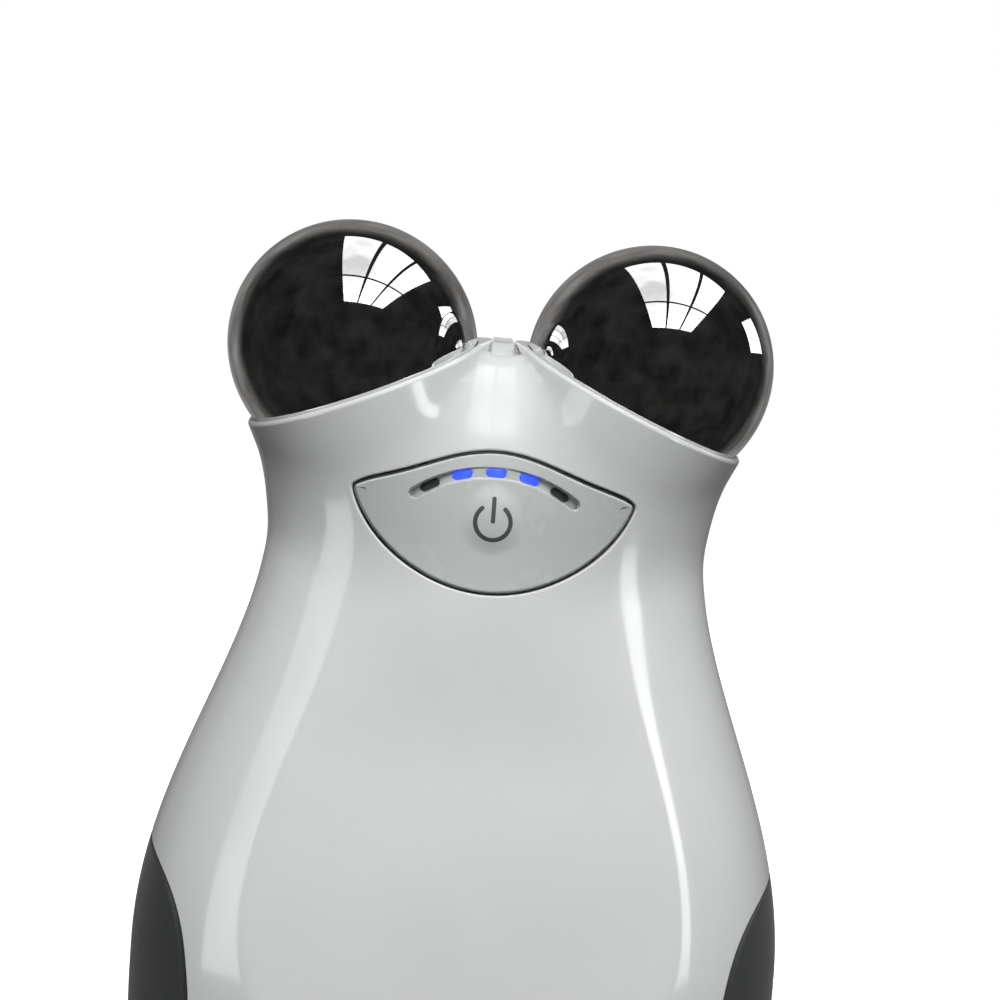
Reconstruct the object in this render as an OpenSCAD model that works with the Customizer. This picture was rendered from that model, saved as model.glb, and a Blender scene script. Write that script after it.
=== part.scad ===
// Hand-held facial toning device: two bright ball electrodes on a glossy two-part housing.
// Millimetres. +Z is up, the control side faces -Y, the foot stands on Z = 0.

/* [Housing] */
// Full width at the widest level of the belly
body_w = 68.4; // [64:0.2:72]
// Height of the widest level above the foot
belly_z = 41.8; // [38:0.2:45]
// Front depth of the belly, from the parting plane
belly_front = 20.5; // [19:0.1:22]
// Back depth of the belly, from the parting plane
belly_back = 21.5; // [20:0.1:23]
// Full width at the narrowest level of the neck
neck_w = 46.6; // [45:0.2:48]
// Height of the neck
neck_z = 86; // [85:0.2:87]
// Front depth of the neck
neck_front = 14.4; // [14:0.1:14.8]
// Back depth of the neck
neck_back = 13.4; // [12.8:0.1:14]
// Height at which the brow between the balls would close
crown_z = 104.8; // [104.4:0.1:105.2]
// Depth below the foot at which the round bottom would close
base_sink = 5; // [4.5:0.1:5.5]
// Wall of both shells
wall = 1.8; // [1.6:0.1:2]

/* [Thumb scoop] */
// Depth of the scoop in the front of the belly
scoop_depth = 1.7; // [1.2:0.1:2]
// Half width of the scoop at its widest
scoop_half_w = 20.5; // [19:0.5:22]
// Height of the widest part of the scoop
scoop_z = 50; // [48:1:52]
// Height from there down to the lower rim
scoop_drop = 17; // [15:1:18]
// Half width of the scoop at its upper end
scoop_top_half_w = 12.5; // [12:0.5:14]

/* [Ball electrodes] */
// Diameter of each ball
ball_d = 25.4; // [25:0.1:25.6]
// Distance between the ball centres
ball_spacing = 30.6; // [30.2:0.1:31]
// Height of the ball centres
ball_z = 104; // [103.5:0.1:104.5]
// How far the ball centres stand in front of the parting plane
ball_ahead = 5; // [4.5:0.1:5.5]
// Outward tilt of each ball seat
ball_tilt = 22.5; // [20:0.5:24]
// Forward lean of each ball seat
ball_lean = 15; // [12:0.5:16]
// Distance of the seat plane below the ball centre
seat_drop = 3.4; // [3:0.1:4]
// How far a collar stands out past its ball
collar_step = 0.2; // [0.1:0.05:0.4]
// Wall of the hollow ball
ball_wall = 1.4; // [1:0.1:1.8]

/* [Control panel] */
// Half width of the key panel
key_half_w = 13.2; // [12.8:0.1:13.5]
// Height of the middle of its upper edge
key_top_z = 93.9; // [93.5:0.1:94.2]
// Height of its shoulders
key_shoulder_z = 90.7; // [90.4:0.1:91]
// Height at which its lower curve starts
key_chin_z = 88.9; // [88.6:0.1:89.2]
// Height of its lowest point
key_low_z = 80.7; // [80.4:0.1:81.5]
// Visible groove around the key
key_gap = 0.3; // [0.25:0.05:0.4]
// Travel of the key when pressed
key_travel = 0.4; // [0.3:0.05:0.5]
// Height of the power button centre
power_z = 87.4; // [87.2:0.1:87.8]
// Radius of the raised power button
power_r = 2.9; // [2.6:0.1:3.1]
// Height of the raised power button
power_rise = 0.45; // [0.2:0.05:0.6]
// Radius of the arc of indicator windows
led_arc_r = 12.95; // [12.8:0.05:13.1]
// Angle between neighbouring windows
led_step = 14.3; // [13.5:0.1:14.6]
// Number of indicator windows
led_count = 5; // [3:2:5]
// Length of one window
led_len = 2; // [1.6:0.1:2.2]
// Width of one window
led_wid = 0.85; // [0.7:0.05:0.95]

/* [Side grips] */
// Height of the centre of each grip
grip_z = 29.5; // [29:0.1:30]
// Half height of each grip
grip_half_h = 22.8; // [21.6:0.1:23.2]
// Half depth of each grip, front to back
grip_half_d = 15.7; // [14.5:0.1:16]
// How much further each grip reaches round the back than round the front
grip_wrap = 0.8; // [0.2:0.1:1.2]
// Thickness of each grip
grip_t = 1; // [0.8:0.1:1.1]

/* [Inside] */
// Diameter of the pilot bores in the screw posts
pilot_d = 1.7; // [1.4:0.1:1.8]
// Diameter of the screw shanks
screw_d = 2; // [1.8:0.1:2.2]
// Diameter of the screw heads
screw_head_d = 3.8; // [3.4:0.1:4]
// Diameter of the posts
post_d = 4.4; // [4:0.1:5]
// Thickness of the circuit board
board_t = 1; // [0.8:0.1:1.6]
// Width of the battery
battery_w = 30; // [26:0.5:32]
// Height of the battery
battery_h = 42; // [36:0.5:44]
// Thickness of the battery
battery_t = 8; // [6:0.5:9]
// Bore of the charging inlet
inlet_bore_d = 5.6; // [5:0.1:5.8]
// Height of the charging inlet
inlet_z = 17; // [16.5:0.1:19]

/* [Hidden] */

white = [0.93, 0.94, 0.94];
grip_grey = [0.35, 0.36, 0.37];
chrome = [0.8, 0.8, 0.82];
black = [0.12, 0.12, 0.13];
natural = [0.85, 0.84, 0.8];
steel = [0.65, 0.66, 0.68];
brass = [0.8, 0.68, 0.35];
board_green = [0.1, 0.35, 0.2];
cell_blue = [0.3, 0.45, 0.65];
clear = [0.75, 0.82, 0.9];

ball_r = ball_d / 2;
collar_r = ball_r + collar_step;
fit = 0.12;
slack = 0.15;
// Cuts and trimmed posts run this far, past anything they meet
far = body_w;
// How far a bore or pocket runs past the face that it opens
over = 1;

// ---- outer form -------------------------------------------------------------------------
// The housing is the level set of one field: a superelliptic body blended into two leaning
// collars. An inset moves the whole form inwards, which gives the walls.
section_power = 2.5;
swell_power = 0.92;
base_power = 2.5;
crown_power = 2.5;
web_blend = 5;
neck_blend = 3;
// A collar is a straight cylinder from below its ball's centre to a little above it
collar_reach = 20;
collar_top = 2;
// Share of the scoop's size that is flat, and the height over which it fades out above
scoop_flat = 0.6;
scoop_fade = 12;

function clip(v, low, high) = min(max(v, low), high);
function ease(t) = (1 - cos(180 * clip(t, 0, 1))) / 2;
function dome(t, power) = pow(1 - pow(clip(t, 0, 0.9999), power), 1 / power);
function blend_min(a, b, k) = min(a, b) - pow(max(k - abs(a - b), 0), 2) / (4 * k);

// Share of the way from neck to belly at height z
function swell(z) = ease(pow(clip((neck_z - z) / (neck_z - belly_z), 0, 1), swell_power));
// Closing of the section towards the foot and towards the brow
function lowest(inset) = -base_sink + inset * (base_sink + wall) / wall;
function highest(inset) = crown_z - inset;
function closing(z, inset) =
    z < belly_z ? dome((belly_z - z) / (belly_z - lowest(inset)), base_power)
    : z > neck_z ? dome((z - neck_z) / (highest(inset) - neck_z), crown_power) : 1;

// Depth of the thumb scoop at a point of the front
function scoop_rim(z) = z < scoop_z ? scoop_half_w
    : scoop_half_w + (scoop_top_half_w - scoop_half_w) * ease((z - scoop_z) / (key_low_z - scoop_z));
function scoop_rho(x, z) =
    norm([x / scoop_rim(z), z < scoop_z ? (scoop_z - z) / scoop_drop : 0]);
function scoop(x, z) = scoop_depth * (1 - ease((scoop_rho(x, z) - scoop_flat) / (1 - scoop_flat)))
    * (1 - ease((z - scoop_z - scoop_fade) / (key_low_z - scoop_z - scoop_fade)));

// Distance to the body, negative inside, taken along the level of the point
function body_field(p, inset) = p.z <= lowest(inset) ? lowest(inset) - p.z + 0.001
    : p.z >= highest(inset) ? p.z - highest(inset) + 0.001
    : level_field(p, inset);
function level_field(p, inset) = let(
    s = swell(p.z),
    c = closing(p.z, inset),
    a = (neck_w / 2 + (body_w - neck_w) / 2 * s - inset) * c,
    front = (neck_front + (belly_front - neck_front) * s - scoop(p.x, p.z) - inset) * c,
    back = (neck_back + (belly_back - neck_back) * s - inset) * c,
    b = p.y < 0 ? front : back,
    r = max(norm([p.x, p.y]), 0.001),
    g = max(pow(pow(abs(p.x) / a, section_power) + pow(abs(p.y) / b, section_power),
                1 / section_power), 0.001)
) r - r / g;

// Unit vector along a ball's axis and its centre; side is -1 for left and 1 for right
function ball_axis(side) = [side * sin(ball_tilt), -cos(ball_tilt) * sin(ball_lean),
                            cos(ball_tilt) * cos(ball_lean)];
function ball_centre(side) = [side * ball_spacing / 2, -ball_ahead, ball_z];

// Distance to a collar: a tilted cylinder with round ends
function collar_field(p, side, inset) = let(
    d = p - ball_centre(side),
    h = d * ball_axis(side),
    flat = sqrt(max(d * d - h * h, 0)),
    past = max(h - collar_top, -h - collar_reach, 0)
) norm([flat, past]) - (collar_r - inset);

function field(p, inset) = blend_min(
    blend_min(collar_field(p, -1, inset), collar_field(p, 1, inset), web_blend),
    body_field(p, inset), neck_blend);

// Distance from origin o along direction d at which the field changes sign
function crossing(o, d, inset, low = 0, high = 60, steps = 15) =
    steps == 0 ? (low + high) / 2
    : let(mid = (low + high) / 2) field(o + mid * d, inset) < 0
        ? crossing(o, d, inset, mid, high, steps - 1) : crossing(o, d, inset, low, mid, steps - 1);

// ---- half shells ------------------------------------------------------------------------
// Rays leave a short vertical line: they fan down at its foot, run level along it and fan
// up at its head. Every ray meets the form once.
fan_low_z = 20;
fan_high_z = 80;
rows_low = 8;
rows_mid = 18;
rows_high = 22;
rows = rows_low + rows_mid + rows_high;
columns = 36;

function ray_z(i) = i <= rows_low ? fan_low_z
    : i >= rows_low + rows_mid ? fan_high_z
    : fan_low_z + (fan_high_z - fan_low_z) * (i - rows_low) / rows_mid;
function ray_rise(i, low) = i == 0 ? -90
    : i < rows_low ? low * (rows_low - i) / (rows_low - 1)
    : i > rows_low + rows_mid ? 90 * (i - rows_low - rows_mid) / rows_high : 0;
// The second row of the outer skin runs round the edge of the foot, just under its plane
foot_under = 0.4;
function foot_rise(turn, side) =
    -atan2(fan_low_z + foot_under,
           crossing([0, 0, -foot_under], [cos(turn), side * sin(turn), 0], 0));
// side is -1 for the front half and 1 for the back half
function ray_point(i, turn, side, inset) = let(
    rise = ray_rise(i, inset > 0 ? -80 : foot_rise(turn, side)),
    o = [0, 0, ray_z(i)],
    d = [cos(rise) * cos(turn), side * cos(rise) * sin(turn), sin(rise)]
) i == 0 && inset == 0 ? [0, 0, -foot_under] : o + crossing(o, d, inset) * d;

// One skin: a pole, then rows of points from parting plane to parting plane, then a pole
function skin(side, inset, step) = concat(
    [ray_point(0, 0, side, inset)],
    [for (i = [step:step:rows - step]) for (j = [0:step:columns])
        ray_point(i, 180 * j / columns, side, inset)],
    [ray_point(rows, 0, side, inset)]);

function skin_faces(n, m, at) = let(last = at + 1 + (n - 1) * (m + 1)) concat(
    [for (j = [0:m - 1]) [at, at + 1 + j, at + 2 + j]],
    [for (i = [0:n - 3]) for (j = [0:m - 1]) let(q = at + 1 + i * (m + 1) + j)
        [q, q + m + 1, q + m + 2]],
    [for (i = [0:n - 3]) for (j = [0:m - 1]) let(q = at + 1 + i * (m + 1) + j)
        [q, q + m + 2, q + 1]],
    [for (j = [0:m - 1]) [last, at + 1 + (n - 2) * (m + 1) + j + 1, at + 1 + (n - 2) * (m + 1) + j]]);

function flip(faces) = [for (f = faces) [f[0], f[2], f[1]]];

// Index of the edge point of row i, at the first or the last column
function edge(i, n, m, at, end) = i == 0 ? at : i == n ? at + 1 + (n - 1) * (m + 1)
    : at + 1 + (i - 1) * (m + 1) + (end ? m : 0);

// Rim on the parting plane: two outer steps to one inner step
function rim_faces(n, m, at, end) = [for (i = [0:n / 2 - 1]) let(
        o0 = edge(2 * i, n, m, 0, end),
        o1 = edge(2 * i + 1, n, m, 0, end),
        o2 = edge(2 * i + 2, n, m, 0, end),
        q0 = edge(i, n / 2, m / 2, at, end),
        q1 = edge(i + 1, n / 2, m / 2, at, end))
    each [[o0, q0, o1], [o1, q0, q1], [o1, q1, o2]]];

module half_shell(side) {
    outer = skin(side, 0, 1);
    inner = skin(side, wall, 2);
    at = len(outer);
    faces = concat(
        flip(skin_faces(rows, columns, 0)),
        skin_faces(rows / 2, columns / 2, at),
        flip(rim_faces(rows, columns, at, false)),
        rim_faces(rows, columns, at, true));
    polyhedron(concat(outer, inner), side < 0 ? faces : flip(faces));
}

// A closed half form, set in by an inset; it trims what stands inside the shells
module half_core(side, inset) {
    points = skin(side, inset, 2);
    n = rows / 2;
    m = columns / 2;
    low = 0;
    high = len(points) - 1;
    left = concat([low], [for (i = [0:n - 2]) 1 + i * (m + 1)], [high]);
    right = concat([low], [for (i = [0:n - 2]) 1 + i * (m + 1) + m], [high]);
    flat = [for (i = [0:n - 1]) each [
        if (i < n - 1) [left[i], left[i + 1], right[i + 1]],
        if (i > 0) [left[i], i < n - 1 ? right[i + 1] : high, right[i]]]];
    faces = concat(flip(skin_faces(n, m, 0)), [for (f = flat) if (f[0] != f[1]) f]);
    polyhedron(points, side < 0 ? faces : flip(faces));
}

// ---- places -----------------------------------------------------------------------------
// Local frame of a ball: origin at its centre, +Z along its axis
module on_ball(side) translate(ball_centre(side)) rotate([ball_lean, 0, 0])
    rotate([0, side * ball_tilt, 0]) children();
module both_sides() for (side = [-1, 1]) on_ball(side) children();
// A cylinder along +Y from y0 to y1 at x, z
module bar_y(x, z, y0, y1, d) translate([x, y0, z]) rotate([-90, 0, 0])
    cylinder(d = d, h = y1 - y0, $fn = 48);
// A flat outline in X and Z, carried along Y from y0 to y1
module slab_y(outline, y0, y1) translate([0, y1, 0]) rotate([90, 0, 0])
    linear_extrude(y1 - y0) polygon(outline);
module block(x0, x1, y0, y1, z0, z1) translate([x0, y0, z0]) cube([x1 - x0, y1 - y0, z1 - z0]);
// Front surface of the housing at x, z
function front_y(x, z) = -crossing([x, 0, z], [0, -1, 0], 0, 0, 40);

// ---- key outline ------------------------------------------------------------------------
key_points = 28;
tip_power = 14;
function key_top(r) = key_shoulder_z + (key_top_z - key_shoulder_z) * (1 + cos(180 * r)) / 2;
function key_bottom(r) = key_chin_z - (key_chin_z - key_low_z) * pow(max(1 - r * r, 0), 0.8);
// Height at share r of the half width and share t from the lower to the upper edge
function key_z(r, t, grow) = let(
    low = key_bottom(abs(r)) - grow,
    high = key_top(abs(r)) + grow,
    mid = (low + high) / 2,
    half = (high - low) / 2 * pow(max(1 - pow(abs(r), tip_power), 0), 1 / 2)
) mid + (2 * t - 1) * half;
// Share of the half width of column i; the columns crowd at the tips
function key_share(i) = -cos(180 * i / key_points);
function key_outline(grow) = concat(
    [for (i = [0:key_points]) let(r = key_share(i)) [r * (key_half_w + grow), key_z(r, 0, grow)]],
    [for (i = [key_points - 1:-1:1]) let(r = key_share(i))
        [r * (key_half_w + grow), key_z(r, 1, grow)]]);

key_lip = 0.9;
key_seat_y = -11.2;
key_flange_t = 1;
key_back_y = key_seat_y + key_flange_t;
key_rest_gap = 0.1;
key_skin = 1.4;
key_rim = 0.7;
key_boss_d = 4.4;
// The pocket behind the key's flange runs this far, past its travel
key_pocket = 3;
key_inside_y = front_y(0, power_z) + key_skin;

// ---- screw posts ------------------------------------------------------------------------
board_y = key_back_y + key_pocket + key_travel;
board_ear_x = 14;
board_ear_z = 84.5;
board_foot_x = 10.5;
board_foot_z = 74;
board_posts = [for (x = [-1, 1]) each [[x * board_ear_x, board_ear_z], [x * board_foot_x, board_foot_z]]];
// Distance of the housing screws from the sides, which keeps their heads clear of the grips
housing_side_gap = 8.7;
housing_x = body_w / 2 - housing_side_gap;
housing_low_z = 19;
housing_high_z = 35;
housing_posts = [for (x = [-1, 1]) for (z = [housing_low_z, housing_high_z]) [x * housing_x, z]];
housing_post_d = post_d + 1;
housing_seat_y = 8;
frame_post_z = 82.5;
frame_tongue_y = 2;
frame_tongue_t = 2;
frame_post_d = post_d + 0.6;
tray_back_y = 12.4;
tray_t = 1.4;
tray_post_x = 19.8;
// Lengths of the screws below their heads, and how much deeper the pilot bores are
board_screw_l = 4;
frame_screw_l = 6.5;
tray_screw_l = 4.4;
housing_screw_l = 13;
pilot_past = 0.5;

// ---- inlet ------------------------------------------------------------------------------
inlet_mouth_y = 17.9;
inlet_seat_y = 14.5;
inlet_nose_d = inlet_bore_d + 1.4;
inlet_body_d = inlet_bore_d + 3.4;
inlet_boss_d = inlet_body_d + 3;
inlet_dish_d = inlet_nose_d + 2.4;

// ---- battery place: the tray stands just above the inlet ---------------------------------
pad_t = 0.8;
tray_gap = 0.3;
tray_wall = 1.2;
tray_over_inlet = 1;
battery_z = inlet_z + inlet_body_d / 2 + tray_over_inlet + tray_wall + tray_gap + battery_h / 2;

module foot_cut() block(-far, far, -far, far, -far, 0);
// Round lips of the collars, on one side of the parting plane
lip_h = 2.5;
lip_proud = 0.1;
module seat_lips(side) difference() {
    both_sides() translate([0, 0, -seat_drop - lip_h])
        cylinder(r = collar_r + lip_proud, h = lip_h, $fn = 96);
    block(-far, far, side < 0 ? 0 : -far, side < 0 ? far : 0, 0, 2 * far);
}
module seat_cuts() both_sides() translate([-far / 2, -far / 2, -seat_drop]) cube([far, far, far]);
module socket_cuts() both_sides() sphere(r = ball_r + fit, $fn = 96);

module front_shell() color(white) difference() {
    union() {
        half_shell(-1);
        seat_lips(-1);
        intersection() {
            half_core(-1, wall / 2);
            union() {
                for (p = board_posts) bar_y(p.x, p.y, -far, board_y, post_d);
                for (p = housing_posts) bar_y(p.x, p.y, -far, 0, housing_post_d);
            }
        }
    }
    foot_cut();
    seat_cuts();
    socket_cuts();
    slab_y(key_outline(key_gap), -far, key_back_y + key_pocket);
    slab_y(key_outline(key_lip + key_gap), key_seat_y - key_rest_gap, key_back_y + key_pocket);
    for (p = board_posts)
        bar_y(p.x, p.y, board_y + board_t - board_screw_l - pilot_past, board_y + over, pilot_d);
    for (p = housing_posts)
        bar_y(p.x, p.y, housing_seat_y - housing_screw_l - pilot_past, over, pilot_d);
    for (side = [-1, 1]) grip_blank(side, fit, grip_t + fit, -2 * over);
}

module rear_shell() color(white) difference() {
    union() {
        half_shell(1);
        seat_lips(1);
        intersection() {
            half_core(1, wall / 2);
            union() {
                bar_y(0, frame_post_z, frame_tongue_y + frame_tongue_t, far, frame_post_d);
                for (x = [-1, 1]) bar_y(x * tray_post_x, battery_z, tray_back_y, far, post_d);
                for (p = housing_posts) bar_y(p.x, p.y, 0, far, housing_post_d);
                bar_y(0, inlet_z, inlet_seat_y, far, inlet_boss_d);
            }
        }
    }
    foot_cut();
    seat_cuts();
    socket_cuts();
    for (p = housing_posts) {
        bar_y(p.x, p.y, -over, far, screw_d + 2 * slack);
        bar_y(p.x, p.y, housing_seat_y, far, screw_head_d + 2 * slack);
    }
    bar_y(0, frame_post_z, frame_tongue_y + frame_tongue_t - over,
          frame_tongue_y + frame_screw_l + pilot_past, pilot_d);
    for (x = [-1, 1]) bar_y(x * tray_post_x, battery_z, tray_back_y - over,
                            tray_back_y - tray_t + tray_screw_l + pilot_past, pilot_d);
    bar_y(0, inlet_z, 0, far, inlet_nose_d + 2 * slack);
    bar_y(0, inlet_z, inlet_mouth_y, far, inlet_dish_d);
    for (side = [-1, 1]) grip_blank(side, fit, grip_t + fit, -2 * over);
}

// ---- side grips -------------------------------------------------------------------------
grip_power = 4.5;
grip_rings = 5;
grip_spokes = 40;
// Point of the leaf at share q of its size along spoke k, seen from the side: [y, z]
function leaf(q, k, grow) = let(
    a = 360 * k / grip_spokes,
    s = q / pow(pow(abs(cos(a)), grip_power) + pow(abs(sin(a)), grip_power), 1 / grip_power),
    reach = grip_half_d + (cos(a) > 0 ? grip_wrap : 0) + grow
) [s * cos(a) * reach, grip_z + s * sin(a) * (grip_half_h + grow)];
function leaf_layer(inset, grow) = concat(
    [[crossing([0, 0, grip_z], [1, 0, 0], inset, 0, 45), 0, grip_z]],
    [for (i = [1:grip_rings]) for (k = [0:grip_spokes - 1]) let(p = leaf(i / grip_rings, k, grow))
        [crossing([0, p.x, p.y], [1, 0, 0], inset, 0, 45), p.x, p.y]]);
function ring_at(i, k, at) = at + 1 + (i - 1) * grip_spokes + k % grip_spokes;
function leaf_faces(at) = concat(
    [for (k = [0:grip_spokes - 1]) [at, ring_at(1, k, at), ring_at(1, k + 1, at)]],
    [for (i = [1:grip_rings - 1]) for (k = [0:grip_spokes - 1]) each [
        [ring_at(i, k, at), ring_at(i + 1, k, at), ring_at(i + 1, k + 1, at)],
        [ring_at(i, k, at), ring_at(i + 1, k + 1, at), ring_at(i, k + 1, at)]]]);

// A leaf of the housing's own surface, between two insets, grown by grow all round
module grip_blank(side, grow, inner, outer) {
    top = leaf_layer(outer, grow);
    under = leaf_layer(inner, grow);
    at = len(top);
    n = grip_rings;
    faces = concat(
        flip(leaf_faces(0)),
        leaf_faces(at),
        [for (k = [0:grip_spokes - 1]) each [
            [ring_at(n, k, 0), ring_at(n, k + 1, 0), ring_at(n, k + 1, at)],
            [ring_at(n, k, 0), ring_at(n, k + 1, at), ring_at(n, k, at)]]]);
    mirror([side < 0 ? 1 : 0, 0, 0]) polyhedron(concat(top, under), faces);
}
module grip(side) color(grip_grey) grip_blank(side, 0, grip_t, 0);

// ---- balls and what carries them --------------------------------------------------------
ball_base = 9.5;
ball_base_t = 1.4;
stem_d = 6;
stem_h = 6.5;
seal_t = 0.5;
frame_top = ball_base + seal_t;
frame_t = 2;
frame_r = 6.2;
frame_bridge_z = ball_z - 7.2;
frame_bridge_t = 2.6;
frame_bridge_half_w = 6.5;
frame_bridge_front = 3;
frame_tongue_half_w = 4.5;
frame_tongue_low = 3.5;
tab_t = 0.4;
tab_d = stem_d + 2;
tab_room = 0.4;
ball_screw_d = 2.4;
ball_screw_l = 8;
ball_screw_ease = 0.05;
ball_screw_head_d = screw_head_d + 0.6;
head_t = 1.4;
drive_w = 0.6;
drive_deep = 0.6;

module ball(side) color(chrome) on_ball(side) difference() {
    union() {
        difference() {
            sphere(r = ball_r, $fn = 96);
            intersection() {
                sphere(r = ball_r - ball_wall, $fn = 96);
                translate([-ball_r, -ball_r, ball_base_t - ball_base]) cube(ball_d);
            }
            translate([-ball_r, -ball_r, -ball_base - ball_r]) cube([ball_d, ball_d, ball_r]);
        }
        translate([0, 0, fit - frame_top - frame_t]) cylinder(d = stem_d, h = stem_h, $fn = 48);
    }
    translate([0, 0, -ball_d]) cylinder(d = ball_screw_d + 2 * ball_screw_ease, h = ball_d, $fn = 48);
}
module ball_seals() color(black) both_sides() translate([0, 0, -frame_top]) difference() {
    cylinder(r = frame_r, h = seal_t, $fn = 64);
    translate([0, 0, -over]) cylinder(d = stem_d + 2 * slack, h = seal_t + 2 * over, $fn = 48);
}
module electrode_frame() color(natural) difference() {
    union() {
        both_sides() translate([0, 0, -frame_top - frame_t])
            cylinder(r = frame_r, h = frame_t, $fn = 64);
        block(-frame_bridge_half_w, frame_bridge_half_w, -frame_bridge_front,
              frame_tongue_y + frame_tongue_t, frame_bridge_z - frame_bridge_t, frame_bridge_z);
        block(-frame_tongue_half_w, frame_tongue_half_w, frame_tongue_y, frame_tongue_y + frame_tongue_t,
              frame_post_z - frame_tongue_low, frame_bridge_z - frame_bridge_t / 2);
    }
    both_sides() {
        translate([0, 0, -frame_top - frame_t - over])
            cylinder(d = stem_d + 2 * slack, h = frame_t + 2 * over, $fn = 48);
        translate([0, 0, -frame_top - frame_t - frame_r])
            cylinder(d = tab_d + 2 * tab_room, h = frame_r, $fn = 48);
        translate([0, 0, -frame_top]) cylinder(r = frame_r + over, h = frame_r, $fn = 48);
    }
    bar_y(0, frame_post_z, frame_tongue_y - over, frame_tongue_y + frame_tongue_t + over,
          screw_d + 2 * slack);
}
module contact_tabs() color(brass) both_sides() translate([0, 0, -frame_top - frame_t - tab_t])
    difference() {
        cylinder(d = tab_d, h = tab_t, $fn = 48);
        translate([0, 0, -over]) cylinder(d = ball_screw_d + 2 * slack, h = tab_t + 2 * over, $fn = 32);
    }
// A slotted pan head below the origin, and the shank of length l above it
module screw(head_d, shank_d, l) {
    cylinder(d = shank_d, h = l, $fn = 32);
    translate([0, 0, -head_t]) difference() {
        cylinder(d = head_d, h = head_t, $fn = 32);
        translate([-drive_w / 2, -head_d / 2, -over]) cube([drive_w, head_d, drive_deep + over]);
    }
}
module ball_screws() color(steel) both_sides() translate([0, 0, -frame_top - frame_t - tab_t])
    screw(ball_screw_head_d, ball_screw_d, ball_screw_l);

// A screw along Y with its head's seat at y0; it points along +Y or -Y. Where it holds it is
// drawn at the core of its thread, which fills the pilot bore.
core_ease = 0.05;
module screw_y(x, z, y0, along, l) translate([x, y0, z]) rotate([-90 * along, 0, 0])
    screw(screw_head_d, pilot_d - core_ease, l);
module frame_screw() color(steel) screw_y(0, frame_post_z, frame_tongue_y, 1, frame_screw_l);
module board_screws() color(steel) for (p = board_posts)
    screw_y(p.x, p.y, board_y + board_t, -1, board_screw_l);
module tray_screws() color(steel) for (x = [-1, 1])
    screw_y(x * tray_post_x, battery_z, tray_back_y - tray_t, 1, tray_screw_l);
module housing_screws() color(steel) for (p = housing_posts)
    screw_y(p.x, p.y, housing_seat_y, -1, housing_screw_l);

// ---- key panel --------------------------------------------------------------------------
key_rows = 8;
led_slot_h = 1.15;
led_slot_deep = 0.3;
led_bend_r = 70;
led_below_top = 1.85;
led_slot_end = 7;
led_play = 0.04;
led_centre_z = key_top_z - led_below_top - led_arc_r;
led_slot_span = (led_count - 1) * led_step + 2 * led_slot_end;
slot_y = front_y(0, led_centre_z + led_arc_r) + led_slot_deep;
power_skirt = 0.3;

// Outline of a bent pill: an arc band of half height h over a span, with round ends
function arc_pill(span, h) = concat(
    [for (i = [0:16]) let(a = span * (i / 16 - 0.5)) (led_arc_r + h) * [sin(a), cos(a)]],
    [for (i = [1:5]) let(a = span / 2, e = 90 - 180 * i / 6)
        led_arc_r * [sin(a), cos(a)] + h * [sin(a + 90 - e), cos(a + 90 - e)]],
    [for (i = [16:-1:0]) let(a = span * (i / 16 - 0.5)) (led_arc_r - h) * [sin(a), cos(a)]],
    [for (i = [1:5]) let(a = -span / 2, e = 90 - 180 * i / 6)
        led_arc_r * [sin(a), cos(a)] + h * [sin(a - 90 - e), cos(a - 90 - e)]]);
module led_pill_y(i, y0, y1, grow) translate([0, y1, led_centre_z])
    rotate([90, led_turn(i), 0]) linear_extrude(y1 - y0)
    translate([0, led_arc_r]) {
        square([led_len - led_wid, led_wid + 2 * grow], center = true);
        for (s = [-1, 1]) translate([s * (led_len - led_wid) / 2, 0])
            circle(d = led_wid + 2 * grow, $fn = 24);
    }

function key_skin_points() = [for (i = [0:key_points]) for (j = [0:key_rows])
    let(r = key_share(i), x = r * key_half_w, z = key_z(r, j / key_rows, 0)) [x, front_y(x, z), z]];
module key_cap() {
    top = key_skin_points();
    w = key_rows + 1;
    at = len(top);
    under = [for (p = top) [p.x, key_back_y, p.z]];
    tip = 0;
    last = key_points * w;
    cells = [for (i = [0:key_points - 1]) for (j = [0:key_rows - 1]) let(
        a = i == 0 ? tip : i * w + j,
        b = i == key_points - 1 ? last : (i + 1) * w + j,
        c = i == key_points - 1 ? last : (i + 1) * w + j + 1,
        d = i == 0 ? tip : i * w + j + 1)
        each [if (b != c) [a, b, c], if (a != d) [a, c, d]]];
    sides = [for (i = [0:key_points - 1]) let(
        a = i == 0 ? tip : i * w,
        b = i == key_points - 1 ? last : (i + 1) * w,
        c = i == key_points - 1 ? last : (i + 1) * w + key_rows,
        d = i == 0 ? tip : i * w + key_rows)
        each [[a, a + at, b + at], [a, b + at, b], [d, c, c + at], [d, c + at, d + at]]];
    under_cells = [for (f = cells) f + [at, at, at]];
    polyhedron(concat(top, under), concat(flip(cells), under_cells, flip(sides)));
}
module key_panel() color(white) difference() {
    union() {
        key_cap();
        slab_y(key_outline(key_lip), key_seat_y, key_back_y);
        intersection() {
            power_cap();
            bar_y(0, power_z, -far, key_back_y, 2 * (power_r + power_skirt));
        }
    }
    difference() {
        slab_y(key_outline(-key_rim), key_inside_y, key_back_y + over);
        bar_y(0, power_z, -far, 0, key_boss_d);
    }
    difference() {
        translate([0, 0, led_centre_z]) slab_y(arc_pill(led_slot_span, led_slot_h / 2), -far, key_back_y);
        translate([0, slot_y + led_bend_r, 0]) cylinder(r = led_bend_r, h = 2 * ball_z, $fn = 180);
    }
    for (i = [0:led_count - 1]) led_pill_y(i, -far, key_back_y, led_play);
}
power_cap_r = (power_r * power_r + power_rise * power_rise) / (2 * power_rise);
module power_cap() translate([0, front_y(0, power_z) - power_rise + power_cap_r, power_z])
    sphere(r = power_cap_r, $fn = 96);

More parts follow.
